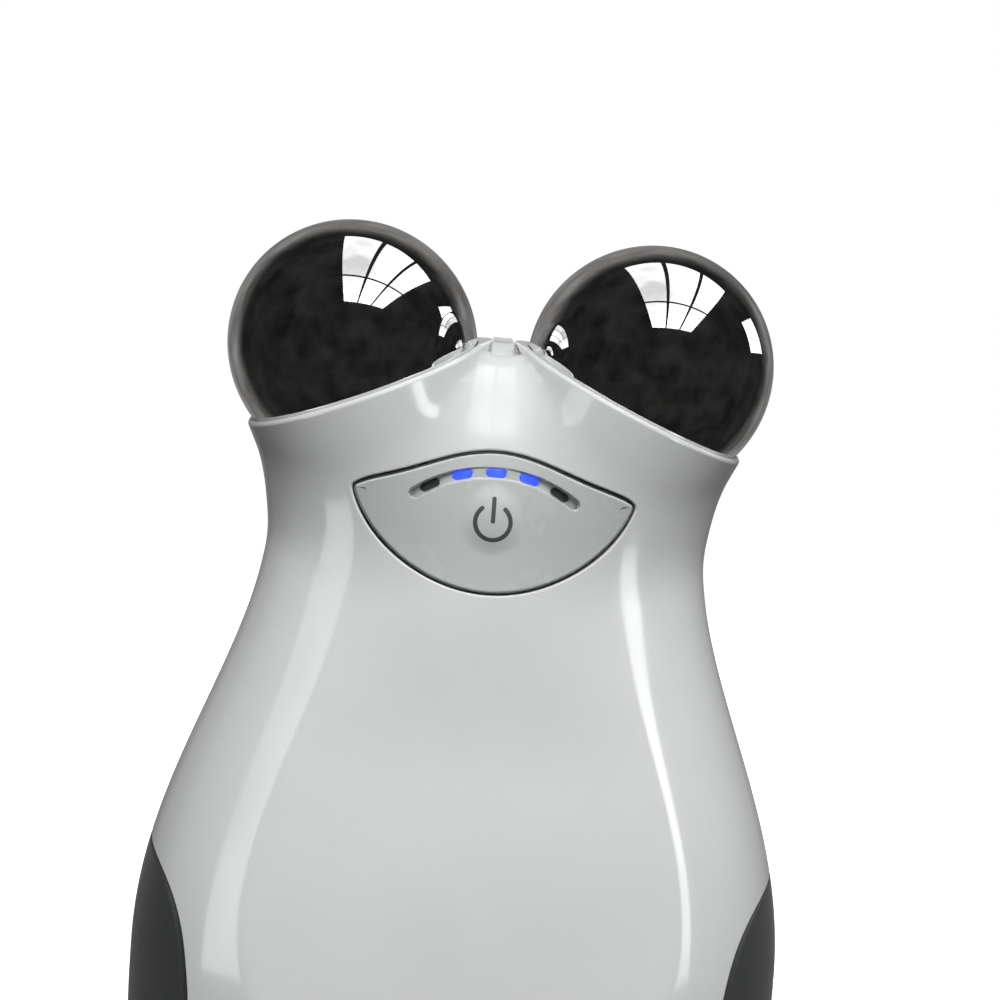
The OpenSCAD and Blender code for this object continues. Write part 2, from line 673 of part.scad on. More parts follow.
// Height of the slot floor along Y at distance x from the middle
function slot_floor_y(x) = slot_y + led_bend_r - sqrt(led_bend_r * led_bend_r - x * x);
function led_turn(i) = (i - (led_count - 1) / 2) * led_step;
lens_half_h = 0.9;
lens_t = 1.3;
lens_glue = 0.02;
window_sunk = 0.05;
module led_lens() color(clear) {
    translate([0, 0, led_centre_z])
        slab_y(arc_pill(led_slot_span, lens_half_h), key_inside_y + lens_glue, key_inside_y + lens_t);
    for (i = [0:led_count - 1])
        led_pill_y(i, slot_floor_y(led_arc_r * sin(led_turn(i))) + window_sunk,
                   key_inside_y + lens_t / 2, 0);
}

// ---- switch and circuit board -----------------------------------------------------------
switch_w = 4.8;
switch_h = 2;
switch_floor_t = 0.4;
leg_w = 1;
leg_h = 0.8;
leg_t = 0.4;
leg_x = switch_w / 2 + 0.4;
leg_z = 1.4;
plunger_d = 2.2;
// The plunger reaches into the switch and still clears its floor when the key is pressed home
plunger_rest = 0.3;
plunger_in = switch_h - switch_floor_t - plunger_rest - key_travel;
module switch_plunger() color(black)
    bar_y(0, power_z, key_back_y, board_y - switch_h + plunger_in, plunger_d);
module power_switch() color(steel) difference() {
    union() {
        block(-switch_w / 2, switch_w / 2, board_y - switch_h, board_y,
              power_z - switch_w / 2, power_z + switch_w / 2);
        for (x = [-1, 1]) for (z = [-1, 1])
            block(x * leg_x - leg_w / 2, x * leg_x + leg_w / 2, board_y - leg_t, board_y,
                  power_z + z * leg_z - leg_h / 2, power_z + z * leg_z + leg_h / 2);
    }
    bar_y(0, power_z, board_y - switch_h - over, board_y - switch_floor_t, plunger_d + 2 * slack);
}
// The board: a narrow head behind the windows, an ear at each upper post and a wide foot
board_top_z = led_centre_z + led_arc_r + 0.6;
board_low_z = board_foot_z - 3;
board_top_half_w = 7.5;
board_half_w = board_foot_x + 2.5;
board_margin = 2.6;
board_ear_half_h = 2.9;
board_chamfer = 1;
board_side = [
    [board_top_half_w, board_top_z],
    [board_ear_x - board_margin, board_ear_z + board_ear_half_h + board_chamfer],
    [board_ear_x + board_margin, board_ear_z + board_ear_half_h],
    [board_ear_x + board_margin, board_ear_z - board_ear_half_h],
    [board_half_w, board_ear_z - board_ear_half_h - board_chamfer],
    [board_half_w, board_low_z]
];
board_outline = concat(board_side,
    [for (i = [len(board_side) - 1:-1:0]) [-board_side[i].x, board_side[i].y]]);
module circuit_board() color(board_green) difference() {
    slab_y(board_outline, board_y, board_y + board_t);
    for (p = board_posts)
        bar_y(p.x, p.y, board_y - over, board_y + board_t + over, screw_d + 2 * slack);
}
lamp_w = 1.6;
lamp_h = 0.8;
module indicator_leds() color(clear) for (i = [0:led_count - 1])
    translate([0, 0, led_centre_z]) rotate([0, led_turn(i), 0])
        block(-lamp_w / 2, lamp_w / 2, board_y - lamp_h, board_y,
              led_arc_r - lamp_h / 2, led_arc_r + lamp_h / 2);
// Parts on the back of the board: middle x, lower edge above the board's, width, height, thickness
board_parts = [[0, 8, 7, 7, 1.2], [-7, 9, 3, 4, 1.2], [7.5, 8, 4, 4, 2],
               [-3.2, 0.6, 4.6, 3.4, 3], [3.2, 0.6, 4.6, 3.4, 3]];
module board_chips() color(black) for (c = board_parts)
    block(c[0] - c[2] / 2, c[0] + c[2] / 2, board_y + board_t, board_y + board_t + c[4],
          board_low_z + c[1], board_low_z + c[1] + c[3]);

// ---- battery ----------------------------------------------------------------------------
tray_face_y = tray_back_y - tray_t;
battery_y1 = tray_face_y - pad_t;
battery_y0 = battery_y1 - battery_t;
pad_inset = 5;
tray_lip = 1.4;
tray_ear = 2.6;
tray_ear_h = 7;
tray_notch_w = 12;
tray_notch_y = 2;
hook_x = 10;
hook_w = 4;
hook_t = 1;
hook_play = 0.2;
module battery() color(cell_blue) translate([0, (battery_y0 + battery_y1) / 2, battery_z - battery_h / 2])
    linear_extrude(battery_h) {
        square([battery_w - battery_t, battery_t], center = true);
        for (x = [-1, 1]) translate([x * (battery_w - battery_t) / 2, 0])
            circle(d = battery_t, $fn = 64);
    }
module battery_pad() color(black) block(pad_inset - battery_w / 2, battery_w / 2 - pad_inset,
    battery_y1, tray_face_y, battery_z - battery_h / 2 + pad_inset,
    battery_z + battery_h / 2 - pad_inset);
module battery_tray() color(natural) {
    in_x = battery_w / 2 + tray_gap;
    in_z = battery_h / 2 + tray_gap;
    out_x = in_x + tray_wall;
    out_z = in_z + tray_wall;
    difference() {
        union() {
            block(-out_x, out_x, battery_y0 + tray_lip, tray_back_y,
                  battery_z - out_z, battery_z + out_z);
            block(-tray_post_x - tray_ear, tray_post_x + tray_ear, tray_face_y, tray_back_y,
                  battery_z - tray_ear_h / 2, battery_z + tray_ear_h / 2);
        }
        block(-in_x, in_x, battery_y0 - over, tray_face_y, battery_z - in_z, battery_z + in_z);
        block(-tray_notch_w / 2, tray_notch_w / 2, battery_y0 - over, battery_y1 - tray_notch_y,
              battery_z, battery_z + out_z + over);
        for (x = [-1, 1])
            bar_y(x * tray_post_x, battery_z, tray_face_y - over, tray_back_y + over,
                  screw_d + 2 * slack);
    }
    for (x = [-1, 1]) for (flip_z = [0, 1])
        translate([x * hook_x, 0, battery_z]) mirror([0, 0, flip_z]) {
            block(-hook_w / 2, hook_w / 2, battery_y0 - hook_play - hook_t,
                  battery_y0 + tray_lip + over, in_z, out_z);
            block(-hook_w / 2, hook_w / 2, battery_y0 - hook_play - hook_t, battery_y0 - hook_play,
                  in_z - hook_t, out_z);
        }
}

// ---- charging inlet ---------------------------------------------------------------------
inlet_back_y = 6;
inlet_floor_y = 7.5;
contact_d = 2;
contact_ease = 0.02;
contact_recess = 2.5;
lug_x = 3;
lug_w = 1.2;
lug_t = 0.4;
lug_l = 2;
module dc_jack() color(black) difference() {
    union() {
        bar_y(0, inlet_z, inlet_back_y, inlet_seat_y, inlet_body_d);
        bar_y(0, inlet_z, inlet_seat_y - over, inlet_mouth_y, inlet_nose_d);
    }
    bar_y(0, inlet_z, inlet_floor_y, inlet_mouth_y + over, inlet_bore_d);
    bar_y(0, inlet_z, inlet_back_y - over, inlet_floor_y + over, contact_d);
}
module jack_contact() color(brass) {
    bar_y(0, inlet_z, inlet_back_y - lug_l, inlet_mouth_y - contact_recess,
          contact_d - 2 * contact_ease);
    for (x = [-1, 1]) block(x * lug_x - lug_w / 2, x * lug_x + lug_w / 2, inlet_back_y - lug_l,
                            inlet_back_y, inlet_z - lug_t / 2, inlet_z + lug_t / 2);
}
front_shell();
rear_shell();
grip(-1);  // grip_left
grip(1);  // grip_right
ball(-1);  // ball_left
ball(1);  // ball_right
ball_seals();
electrode_frame();
contact_tabs();
ball_screws();
frame_screw();
key_panel();
led_lens();
switch_plunger();
power_switch();
circuit_board();
indicator_leds();
board_chips();
board_screws();
battery();
battery_pad();
battery_tray();
tray_screws();
dc_jack();
jack_contact();
housing_screws();
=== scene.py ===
"""Looks of a hand-held facial toning device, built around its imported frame.

Two bright balls sit in leaning collars on a glossy two-part housing. An almond key with a
lit scale and a raised power button lies in the neck, and soft grips are inlaid in the sides.
Shapes are worked out in millimetres, as whole arrays, and put into meshes in metres.
"""
import logging
from dataclasses import dataclass, field
from enum import Enum
from typing import Callable

import bpy
import numpy as np
from mathutils import Matrix, Vector


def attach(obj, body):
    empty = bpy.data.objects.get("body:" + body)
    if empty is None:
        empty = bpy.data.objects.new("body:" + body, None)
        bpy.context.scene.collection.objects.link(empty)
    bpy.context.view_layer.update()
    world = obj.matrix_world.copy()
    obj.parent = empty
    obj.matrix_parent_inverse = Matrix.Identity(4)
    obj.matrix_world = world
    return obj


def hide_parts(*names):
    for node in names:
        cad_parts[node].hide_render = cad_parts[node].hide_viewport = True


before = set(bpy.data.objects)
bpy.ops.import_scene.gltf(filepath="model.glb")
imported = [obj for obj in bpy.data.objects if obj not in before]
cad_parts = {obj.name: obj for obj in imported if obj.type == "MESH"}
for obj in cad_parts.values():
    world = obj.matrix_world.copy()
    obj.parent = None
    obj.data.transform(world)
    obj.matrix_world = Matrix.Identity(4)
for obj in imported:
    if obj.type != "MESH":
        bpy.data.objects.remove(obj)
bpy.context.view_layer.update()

LOG = logging.getLogger("toning_device")
MM = 0.001
Array = np.ndarray


class Side(Enum):
    """Which half of a mirrored pair a piece belongs to."""

    LEFT = -1
    RIGHT = 1


class Half(Enum):
    """The two shells of the housing: the control side and the back."""

    FRONT = -1
    REAR = 1


class End(Enum):
    """How a stack of rings closes: left open, drawn to a point, or zipped along a line."""

    OPEN = 0
    POLE = 1
    ZIP = 2


# ---- small shape functions ---------------------------------------------------------------
def ease(t: Array) -> Array:
    """Half cosine from 0 to 1, flat at both ends."""
    return (1 - np.cos(np.pi * np.clip(t, 0, 1))) / 2


def ramp(v: Array, low: float, high: float) -> Array:
    """Smooth step of v from 0 at low to 1 at high."""
    t = np.clip((v - low) / (high - low), 0, 1)
    return t * t * (3 - 2 * t)


def dome(t: Array, power: float) -> Array:
    """Quarter of a superellipse: 1 at t = 0, falling to 0 at t = 1."""
    return (1 - np.clip(t, 0, 0.9999) ** power) ** (1 / power)


def blend_min(a: Array, b: Array, k: float) -> Array:
    """Smaller of two fields, rounded where they differ by less than k."""
    return np.minimum(a, b) - np.maximum(k - np.abs(a - b), 0) ** 2 / (4 * k)


def unit(v: Array) -> Array:
    """Vectors scaled to length 1."""
    return v / np.maximum(np.linalg.norm(v, axis=-1, keepdims=True), 1e-12)


def dot(a: Array, b: Array) -> Array:
    """Dot product along the last axis, kept as a column."""
    return np.sum(a * b, axis=-1, keepdims=True)


def turn_between(a: Array, b: Array, t: float) -> Array:
    """Unit vector at share t of the turn from a to b."""
    angle = np.arccos(np.clip(dot(a, b), -1, 1))
    sine = np.maximum(np.sin(angle), 1e-6)
    mix = (np.sin((1 - t) * angle) * a + np.sin(t * angle) * b) / sine
    return unit(np.where(angle < 1e-4, b, mix))


# ---- the housing's own form --------------------------------------------------------------
@dataclass(frozen=True)
class BallSeat:
    """Place of one ball: centre and the axis it leans along."""

    side: Side
    spacing: float = 30.6
    height: float = 104.0
    ahead: float = 5.0
    tilt: float = 22.5
    lean: float = 15.0

    @property
    def centre(self) -> Array:
        """Centre of the ball."""
        return np.array([self.side.value * self.spacing / 2, -self.ahead, self.height])

    @property
    def axis(self) -> Array:
        """Unit vector from the collar out through the ball."""
        t, l = np.radians(self.tilt), np.radians(self.lean)
        return np.array([self.side.value * np.sin(t), -np.cos(t) * np.sin(l), np.cos(t) * np.cos(l)])

    def split(self, p: Array) -> tuple[Array, Array]:
        """Height of points along the axis, and their vectors out from it."""
        d = p - self.centre
        h = d @ self.axis
        return h, d - h[..., None] * self.axis


@dataclass(frozen=True)
class HousingForm:
    """Field whose zero level is the housing: a superelliptic body blended into two collars."""

    body_w: float = 68.4
    belly_z: float = 41.8
    belly_front: float = 20.5
    belly_back: float = 21.5
    neck_w: float = 46.6
    neck_z: float = 86.0
    neck_front: float = 14.4
    neck_back: float = 13.4
    crown_z: float = 104.8
    base_sink: float = 5.0
    wall: float = 1.8
    scoop_depth: float = 1.7
    scoop_half_w: float = 20.5
    scoop_z: float = 50.0
    scoop_drop: float = 17.0
    scoop_top_half_w: float = 13.5
    scoop_power: float = 2.6
    scoop_edge: float = 0.1
    key_low_z: float = 80.7
    section_power: float = 2.5
    swell_power: float = 0.92
    base_power: float = 2.5
    crown_power: float = 2.5
    web_blend: float = 5.0
    neck_blend: float = 3.0
    collar_r: float = 12.9
    collar_reach: float = 20.0
    foot_round: float = 1.6
    seats: tuple[BallSeat, BallSeat] = (BallSeat(Side.LEFT), BallSeat(Side.RIGHT))

    def scoop(self, x: Array, z: Array) -> Array:
        """Depth of the thumb scoop: a shallow dish with a crisp rim that fades towards the key.

        With v = 1 - rho^2 the depth goes as (v + sqrt(v^2 + e^2)) / 2, a paraboloid whose rim
        at rho = 1 is rounded over a width that e sets.
        """
        up = ease((z - self.scoop_z) / (self.key_low_z - self.scoop_z))
        rim = self.scoop_half_w + (self.scoop_top_half_w - self.scoop_half_w) * up
        rho = np.hypot(x / rim, np.maximum(self.scoop_z - z, 0) / self.scoop_drop)
        fade = ease((z - self.scoop_z - 12) / (self.key_low_z - self.scoop_z - 12))
        v = 1 - rho ** self.scoop_power
        dish = (v + np.sqrt(v * v + self.scoop_edge ** 2)) / 2
        return self.scoop_depth * dish * (1 - fade)

    def body(self, p: Array) -> Array:
        """Distance to the body within the level of each point, negative inside."""
        x, y, z = p[..., 0], p[..., 1], p[..., 2]
        low, high = -self.base_sink, self.crown_z
        swell = ease(np.clip((self.neck_z - z) / (self.neck_z - self.belly_z), 0, 1) ** self.swell_power)
        shut = np.where(
            z < self.belly_z, dome((self.belly_z - z) / (self.belly_z - low), self.base_power),
            np.where(z > self.neck_z,
                     dome(np.maximum(z - self.neck_z, 0) / (high - self.neck_z), self.crown_power), 1))
        a = (self.neck_w / 2 + (self.body_w - self.neck_w) / 2 * swell) * shut
        front = (self.neck_front + (self.belly_front - self.neck_front) * swell - self.scoop(x, z)) * shut
        back = (self.neck_back + (self.belly_back - self.neck_back) * swell) * shut
        b = np.where(y < 0, front, back)
        r = np.maximum(np.hypot(x, y), 0.001)
        n = self.section_power
        g = np.maximum(((np.abs(x) / a) ** n + (np.abs(y) / b) ** n) ** (1 / n), 0.001)
        return np.where(z <= low, low - z + 0.001, np.where(z >= high, z - high + 0.001, r - r / g))

    def collar(self, p: Array, seat: BallSeat) -> Array:
        """Distance to a leaning cylinder with round ends."""
        h, out = seat.split(p)
        past = np.maximum(np.maximum(h - 2, -h - self.collar_reach), 0)
        return np.hypot(np.linalg.norm(out, axis=-1), past) - self.collar_r

    def value(self, p: Array) -> Array:
        """The field: collars blended together, then with the body, cut flat at the foot."""
        collars = blend_min(self.collar(p, self.seats[0]), self.collar(p, self.seats[1]), self.web_blend)
        whole = blend_min(collars, self.body(p), self.neck_blend)
        return -blend_min(-whole, p[..., 2], self.foot_round)

    def slope(self, p: Array, step: float = 0.01) -> Array:
        """Gradient of the field by central differences."""
        out = np.empty_like(p)
        for axis in range(3):
            move = np.zeros(3)
            move[axis] = step
            out[..., axis] = (self.value(p + move) - self.value(p - move)) / (2 * step)
        return out

    def normal(self, p: Array) -> Array:
        """Outward unit normal of the form at points of its surface."""
        return unit(self.slope(p))

    def crossing(self, start: Array, along: Array, reach: float = 60.0, steps: int = 34) -> Array:
        """Points where rays leave the form, found by halving the stretch that holds the change.

        Args:
            start: Ray origins inside the form.
            along: Unit directions of the rays.
            reach: Longest distance that is searched.
            steps: Number of halvings.

        Returns:
            The points, one for each ray.
        """
        start, along = np.broadcast_arrays(start, along)
        low = np.zeros(start.shape[:-1])
        high = np.full(start.shape[:-1], reach)
        for _ in range(steps):
            mid = (low + high) / 2
            inside = self.value(start + mid[..., None] * along) < 0
            low, high = np.where(inside, mid, low), np.where(inside, high, mid)
        return start + ((low + high) / 2)[..., None] * along

    def first_crossing(self, start: Array, along: Array, reach: float = 45.0, steps: int = 150) -> Array:
        """Points where rays first leave the form, found by small strides and then halving."""
        stride = reach / steps
        low = np.zeros(along.shape[:-1])
        found = np.zeros(along.shape[:-1], bool)
        for k in range(1, steps + 1):
            found |= self.value(start + k * stride * along) >= 0
            low[~found] = k * stride
        high = low + stride
        for _ in range(16):
            mid = (low + high) / 2
            inside = self.value(start + mid[..., None] * along) < 0
            low, high = np.where(inside, mid, low), np.where(inside, high, mid)
        return start + ((low + high) / 2)[..., None] * along

    def front_y(self, x: Array, z: Array) -> Array:
        """Y of the control side over points of the X-Z plane."""
        start = np.stack([x, np.zeros_like(x), z], axis=-1)
        return self.crossing(start, np.array([0.0, -1.0, 0.0]), 40.0)[..., 1]

    def draw_back(self, p: Array, level: Array | None = None, turns: int = 4) -> Array:
        """Points near the surface brought onto it; where level is set they keep their Y."""
        for _ in range(turns):
            g = self.slope(p)
            if level is not None:
                g[level, 1] = 0
            p = p - self.value(p)[..., None] * g / np.maximum(dot(g, g), 1e-9)
        return p


# ---- meshes ------------------------------------------------------------------------------
def put_mesh(name: str, points: Array, faces: Array, normals: Array | None = None) -> bpy.types.Object:
    """Makes an object of a triangle mesh given in millimetres.

    Args:
        name: Name of the piece.
        points: Vertices, one row each, in millimetres.
        faces: Vertex numbers, three for each triangle.
        normals: Shading normal of each vertex, or None for plain smooth shading.

    Returns:
        The new object, at the origin, with its place in its mesh.
    """
    used = np.unique(faces)
    number = np.zeros(len(points), np.int64)
    number[used] = np.arange(len(used))
    mesh = bpy.data.meshes.new(name)
    mesh.from_pydata((points[used] * MM).tolist(), [], number[faces].tolist())
    mesh.polygons.foreach_set("use_smooth", np.ones(len(mesh.polygons), bool))
    mesh.update()
    if normals is not None:
        mesh.normals_split_custom_set_from_vertices(unit(normals[used]).tolist())
    piece = bpy.data.objects.new(name, mesh)
    bpy.context.scene.collection.objects.link(piece)
    return piece


def facing(points: Array, faces: Array, outward: Array) -> Array:
    """Triangles turned so that each looks the way its vertices' outward vectors do."""
    a, b, c = (points[faces[:, i]] for i in range(3))
    wrong = np.einsum("ij,ij->i", np.cross(b - a, c - a), outward[faces].sum(axis=1)) < 0
    faces = faces.copy()
    faces[wrong] = faces[wrong][:, [0, 2, 1]]
    return faces


def inside_out(points: Array, faces: Array) -> bool:
    """Whether a closed mesh has a negative volume."""
    a, b, c = (points[faces[:, i]] for i in range(3))
    return float(np.einsum("ij,ij->i", a, np.cross(b, c)).sum()) < 0


def cell_faces(a: Array, b: Array, c: Array, d: Array) -> Array:
    """Two triangles for each four-sided cell, from arrays of its corner numbers."""
    return np.concatenate([np.stack([a, b, c], -1).reshape(-1, 3), np.stack([a, c, d], -1).reshape(-1, 3)])


def with_area(faces: Array) -> Array:
    """Triangles whose three corners differ."""
    same = (faces[:, 0] == faces[:, 1]) | (faces[:, 1] == faces[:, 2]) | (faces[:, 0] == faces[:, 2])
    return faces[~same]


def number_faces(number: Array) -> Array:
    """Triangles over a grid of vertex numbers, two for each cell."""
    return cell_faces(number[:-1, :-1], number[:-1, 1:], number[1:, 1:], number[1:, :-1])


def grid_faces(rows: int, cols: int) -> Array:
    """Triangles over a grid of points, two for each cell."""
    return number_faces(np.arange(rows * cols).reshape(rows, cols))


def ring_faces(rings: int, spokes: int, start: End, end: End, loop: bool = False) -> Array:
    """Triangles over a stack of closed rings of points.

    Each cell between two rings and two spokes gives two triangles. A pole stands for its whole
    ring, a zip joins point k to point spokes - k, and triangles left without area are dropped.
    """
    number = np.arange(rings * spokes).reshape(rings, spokes)
    for row, kind in ((0, start), (rings - 1, end)):
        k = np.arange(spokes)
        if kind is End.POLE:
            number[row] = number[row, 0]
        elif kind is End.ZIP:
            number[row] = number[row, np.minimum(k, (spokes - k) % spokes)]
    below, above = (number, np.roll(number, -1, 0)) if loop else (number[:-1], number[1:])
    a, b = below, np.roll(below, -1, 1)
    c, d = np.roll(above, -1, 1), above
    return with_area(cell_faces(a, b, c, d))


def ring_piece(name: str, rings: Array, normals: Array | None = None, start: End = End.POLE,
               end: End = End.POLE, loop: bool = False) -> bpy.types.Object:
    """Makes a closed piece from a stack of rings, turned so that its faces point outwards.

    Args:
        name: Name of the piece.
        rings: Points as rings by spokes by 3, in millimetres.
        normals: Shading normals of the same shape, or None.
        start: How the first ring closes.
        end: How the last ring closes.
        loop: Whether the last ring runs on into the first.
    """
    points = rings.reshape(-1, 3)
    faces = ring_faces(rings.shape[0], rings.shape[1], start, end, loop)
    if inside_out(points, faces):
        faces = faces[:, [0, 2, 1]]
    return put_mesh(name, points, faces, None if normals is None else normals.reshape(-1, 3))


def rolled_edge(edge: Array, n: Array, w: Array, roll: float, steps: int = 5) -> tuple[Array, Array]:
    """Rounded edge from points of a surface with normal n to the direction w.

    Args:
        edge: Points where the surface ends.
        n: Normal of the surface there.
        w: Normal of the wall that the edge runs into.
        roll: Radius of the edge.
        steps: Number of points along the edge.

    Returns:
        The points and the normals, steps rows of each.
    """
    turns = np.stack([turn_between(n, w, i / steps) for i in range(1, steps + 1)])
    return edge - roll * n + roll * turns, turns


def across(axis: Array) -> tuple[Array, Array]:
    """Two unit vectors square to an axis and to each other."""
    first = unit(np.cross(axis, [0.0, 1.0, 0.0] if abs(axis[1]) < 0.9 else [1.0, 0.0, 0.0]))
    return first, np.cross(axis, first)


def revolve(profile: Array, centre: Array, axis: Array, spokes: int) -> Array:
    """Rings of a profile of radius and height pairs, carried round an axis."""
    e1, e2 = across(axis)
    t = np.linspace(0, 2 * np.pi, spokes, endpoint=False)
    round_ = np.cos(t)[:, None] * e1 + np.sin(t)[:, None] * e2
    return centre + profile[:, 0, None, None] * round_[None] + profile[:, 1, None, None] * axis


# ---- flat outlines -----------------------------------------------------------------------
@dataclass(frozen=True)
class Outline:
    """A closed curve in a plane, as points, used to measure how far other points lie outside."""

    points: Array

    @property
    def outward(self) -> Array:
        """Outward unit normal at each point, from its two neighbours."""
        along = np.roll(self.points, -1, 0) - np.roll(self.points, 1, 0)
        n = unit(np.stack([along[:, 1], -along[:, 0]], -1))
        x, y = self.points.T
        area = np.sum(x * np.roll(y, -1) - np.roll(x, -1) * y)
        return n if area > 0 else -n

    def measure(self, q: Array) -> tuple[Array, Array]:
        """Signed distance of points outside the curve, and its gradient.

        The nearest point of every segment is tried, and the sign comes from the outward
        normal there.
        """
        a, b = self.points, np.roll(self.points, -1, 0)
        n0, n1 = self.outward, np.roll(self.outward, -1, 0)
        ab = b - a
        t = np.clip(((q[:, None] - a) * ab).sum(-1) / np.maximum((ab * ab).sum(-1), 1e-12), 0, 1)
        near = a + t[..., None] * ab
        gap = q[:, None] - near
        best = np.argmin((gap * gap).sum(-1), axis=1)
        row = np.arange(len(q))
        gap, t = gap[row, best], t[row, best][:, None]
        n = unit(n0[best] * (1 - t) + n1[best] * t)
        sign = np.where((gap * n).sum(-1) < 0, -1.0, 1.0)
        length = np.linalg.norm(gap, axis=-1)
        slope = np.where(length[:, None] > 1e-4, gap * (sign / np.maximum(length, 1e-9))[:, None], n)
        return sign * length, slope


# ---- trimmed shells ----------------------------------------------------------------------
@dataclass(frozen=True)
class Cut:
    """One opening of a shell: where it runs, which way its wall faces, and its rounded edge."""

    name: str
    gap: Callable[[Array], tuple[Array, Array]]
    roll: float
    inward: Callable[[Array, Array, Array], list[Array]]

    def value(self, p: Array, n: Array) -> tuple[Array, Array]:
        """How far points lie outside the edge's start, and the wall's normal near them.

        The rounded edge turns from the surface's normal n to the wall's normal w on a circle of
        radius roll, so the surface ends at roll times (1 - w . n) before the wall.
        """
        d, w = self.gap(p)
        return d - self.roll * (1 - dot(w, n)[..., 0]), w


@dataclass
class ShellSkin:
    """A half of the housing as a trimmed surface that is then given its wall and edges."""

    form: HousingForm
    half: Half
    rows_low: int = 52
    rows_mid: int = 110
    rows_high: int = 70
    columns: int = 190
    fan_low_z: float = 20.0
    fan_high_z: float = 80.0
    seam_gap: float = 0.06
    seam_roll: float = 0.12
    arc: int = 5
    snap: float = 0.12
    socket_r: float = 12.82
    points: Array = field(default_factory=lambda: np.zeros((0, 3)))
    faces: Array = field(default_factory=lambda: np.zeros((0, 3), int))
    on: dict[str, Array] = field(default_factory=dict)

    @property
    def plane_y(self) -> float:
        """Y at which the smooth surface ends and the seam's rounded edge starts."""
        return self.half.value * (self.seam_gap / 2 + self.seam_roll)

    def lay(self) -> None:
        """Casts rays from a short upright line: fanned down, then level, then fanned up."""
        z = np.concatenate([
            np.full(self.rows_low, self.fan_low_z),
            np.linspace(self.fan_low_z, self.fan_high_z, self.rows_mid + 1),
            np.full(self.rows_high, self.fan_high_z)])
        rise = np.concatenate([
            np.linspace(-np.pi / 2, 0, self.rows_low, endpoint=False), np.zeros(self.rows_mid + 1),
            np.linspace(0, np.pi / 2, self.rows_high + 1)[1:]])
        turn = np.linspace(0, np.pi, self.columns + 1)
        start = np.stack(np.broadcast_arrays(0.0, self.plane_y, z[:, None] + 0 * turn), -1)
        along = np.stack([
            np.cos(rise)[:, None] * np.cos(turn),
            self.half.value * np.cos(rise)[:, None] * np.sin(turn),
            np.sin(rise)[:, None] + 0 * turn], -1)
        fan = self.rows_high
        p = np.concatenate([self.form.crossing(start[:-fan], along[:-fan]),
                            self.form.first_crossing(start[-fan:], along[-fan:])])
        rows, cols = p.shape[:2]
        number = np.arange(rows * cols).reshape(rows, cols)
        number[0], number[-1] = number[0, 0], number[-1, 0]
        faces = with_area(number_faces(number))
        seam = np.zeros((rows, cols), bool)
        seam[:, 0] = seam[:, -1] = seam[0] = seam[-1] = True
        self.points = p.reshape(-1, 3)
        self.points[seam.ravel(), 1] = self.plane_y
        self.faces = facing(self.points, faces, self.form.normal(self.points))
        self.on = {"seam": seam.ravel()}

    def settle(self, p: Array, level: Array, cut: Cut, turns: int = 6) -> Array:
        """Points near an edge moved along the surface onto it; level ones keep their Y."""
        for _ in range(turns):
            n = self.form.normal(p)
            s, w = cut.value(p, n)
            g = -(w - dot(w, n) * n)
            g[level, 1] = 0
            p = p - np.clip(s, -0.5, 0.5)[:, None] * g / np.maximum(dot(g, g), 0.05)
            p = self.form.draw_back(p, level, 2)
        return p

    def trim(self, cut: Cut) -> None:
        """Splits the triangles that an opening's edge crosses, and drops what lies inside it."""
        n = self.form.normal(self.points)
        s = cut.value(self.points, n)[0]
        level = self.on["seam"]
        near = np.abs(s) < self.snap
        self.points[near] = self.settle(self.points[near], level[near], cut)
        s[near] = 0
        edges = np.sort(np.stack([self.faces, np.roll(self.faces, -1, 1)], -1), -1)
        crossed = (s[edges[..., 0]] * s[edges[..., 1]]) < 0
        pairs, which = np.unique(edges[crossed], axis=0, return_inverse=True)
        t = (s[pairs[:, 0]] / (s[pairs[:, 0]] - s[pairs[:, 1]]))[:, None]
        fresh = self.points[pairs[:, 0]] * (1 - t) + self.points[pairs[:, 1]] * t
        fresh_level = level[pairs[:, 0]] & level[pairs[:, 1]]
        fresh = self.settle(fresh, fresh_level, cut)
        count = len(self.points)
        middle = np.full(self.faces.shape, -1)
        middle[crossed] = count + which.ravel()
        self.points = np.concatenate([self.points, fresh])
        self.on = {k: np.concatenate([v, v[pairs[:, 0]] & v[pairs[:, 1]]]) for k, v in self.on.items()}
        s = np.concatenate([s, np.zeros(len(pairs))])
        self.on[cut.name] = s == 0
        whole = ~crossed.any(1)
        made = [self.faces[whole]]
        hits = crossed.sum(1)
        for i in range(3):
            j, k = (i + 1) % 3, (i + 2) % 3
            two = (hits == 2) & ~crossed[:, j]
            f, m = self.faces[two], middle[two]
            made += [np.stack([f[:, i], m[:, i], m[:, k]], -1),
                     np.stack([m[:, i], f[:, j], f[:, k]], -1), np.stack([m[:, i], f[:, k], m[:, k]], -1)]
            one = (hits == 1) & crossed[:, j]
            f, m = self.faces[one], middle[one]
            made += [np.stack([f[:, i], f[:, j], m[:, j]], -1), np.stack([f[:, i], m[:, j], f[:, k]], -1)]
        faces = np.concatenate(made)
        self.faces = faces[s[faces].sum(1) > 0]

    def thickness(self, p: Array, n: Array) -> Array:
        """Wall behind each point: the plain wall, less where a ball's socket comes nearer."""
        t = np.full(len(p), self.form.wall)
        for seat in self.form.seats:
            d = p - seat.centre
            b = dot(d, n)[:, 0]
            root = b * b - (np.sum(d * d, -1) - self.socket_r ** 2)
            hit = b - np.sqrt(np.maximum(root, 0))
            t = np.where((root > 0) & (hit > 0.05), np.minimum(t, np.maximum(hit, 0.1)), t)
        return t

    def seam_cut(self) -> Cut:
        """The parting seam as a cut whose wall lies in the parting plane."""
        w0 = np.array([0.0, -self.half.value, 0.0])

        def gap(p: Array) -> tuple[Array, Array]:
            return np.zeros(len(p)), np.broadcast_to(w0, p.shape)

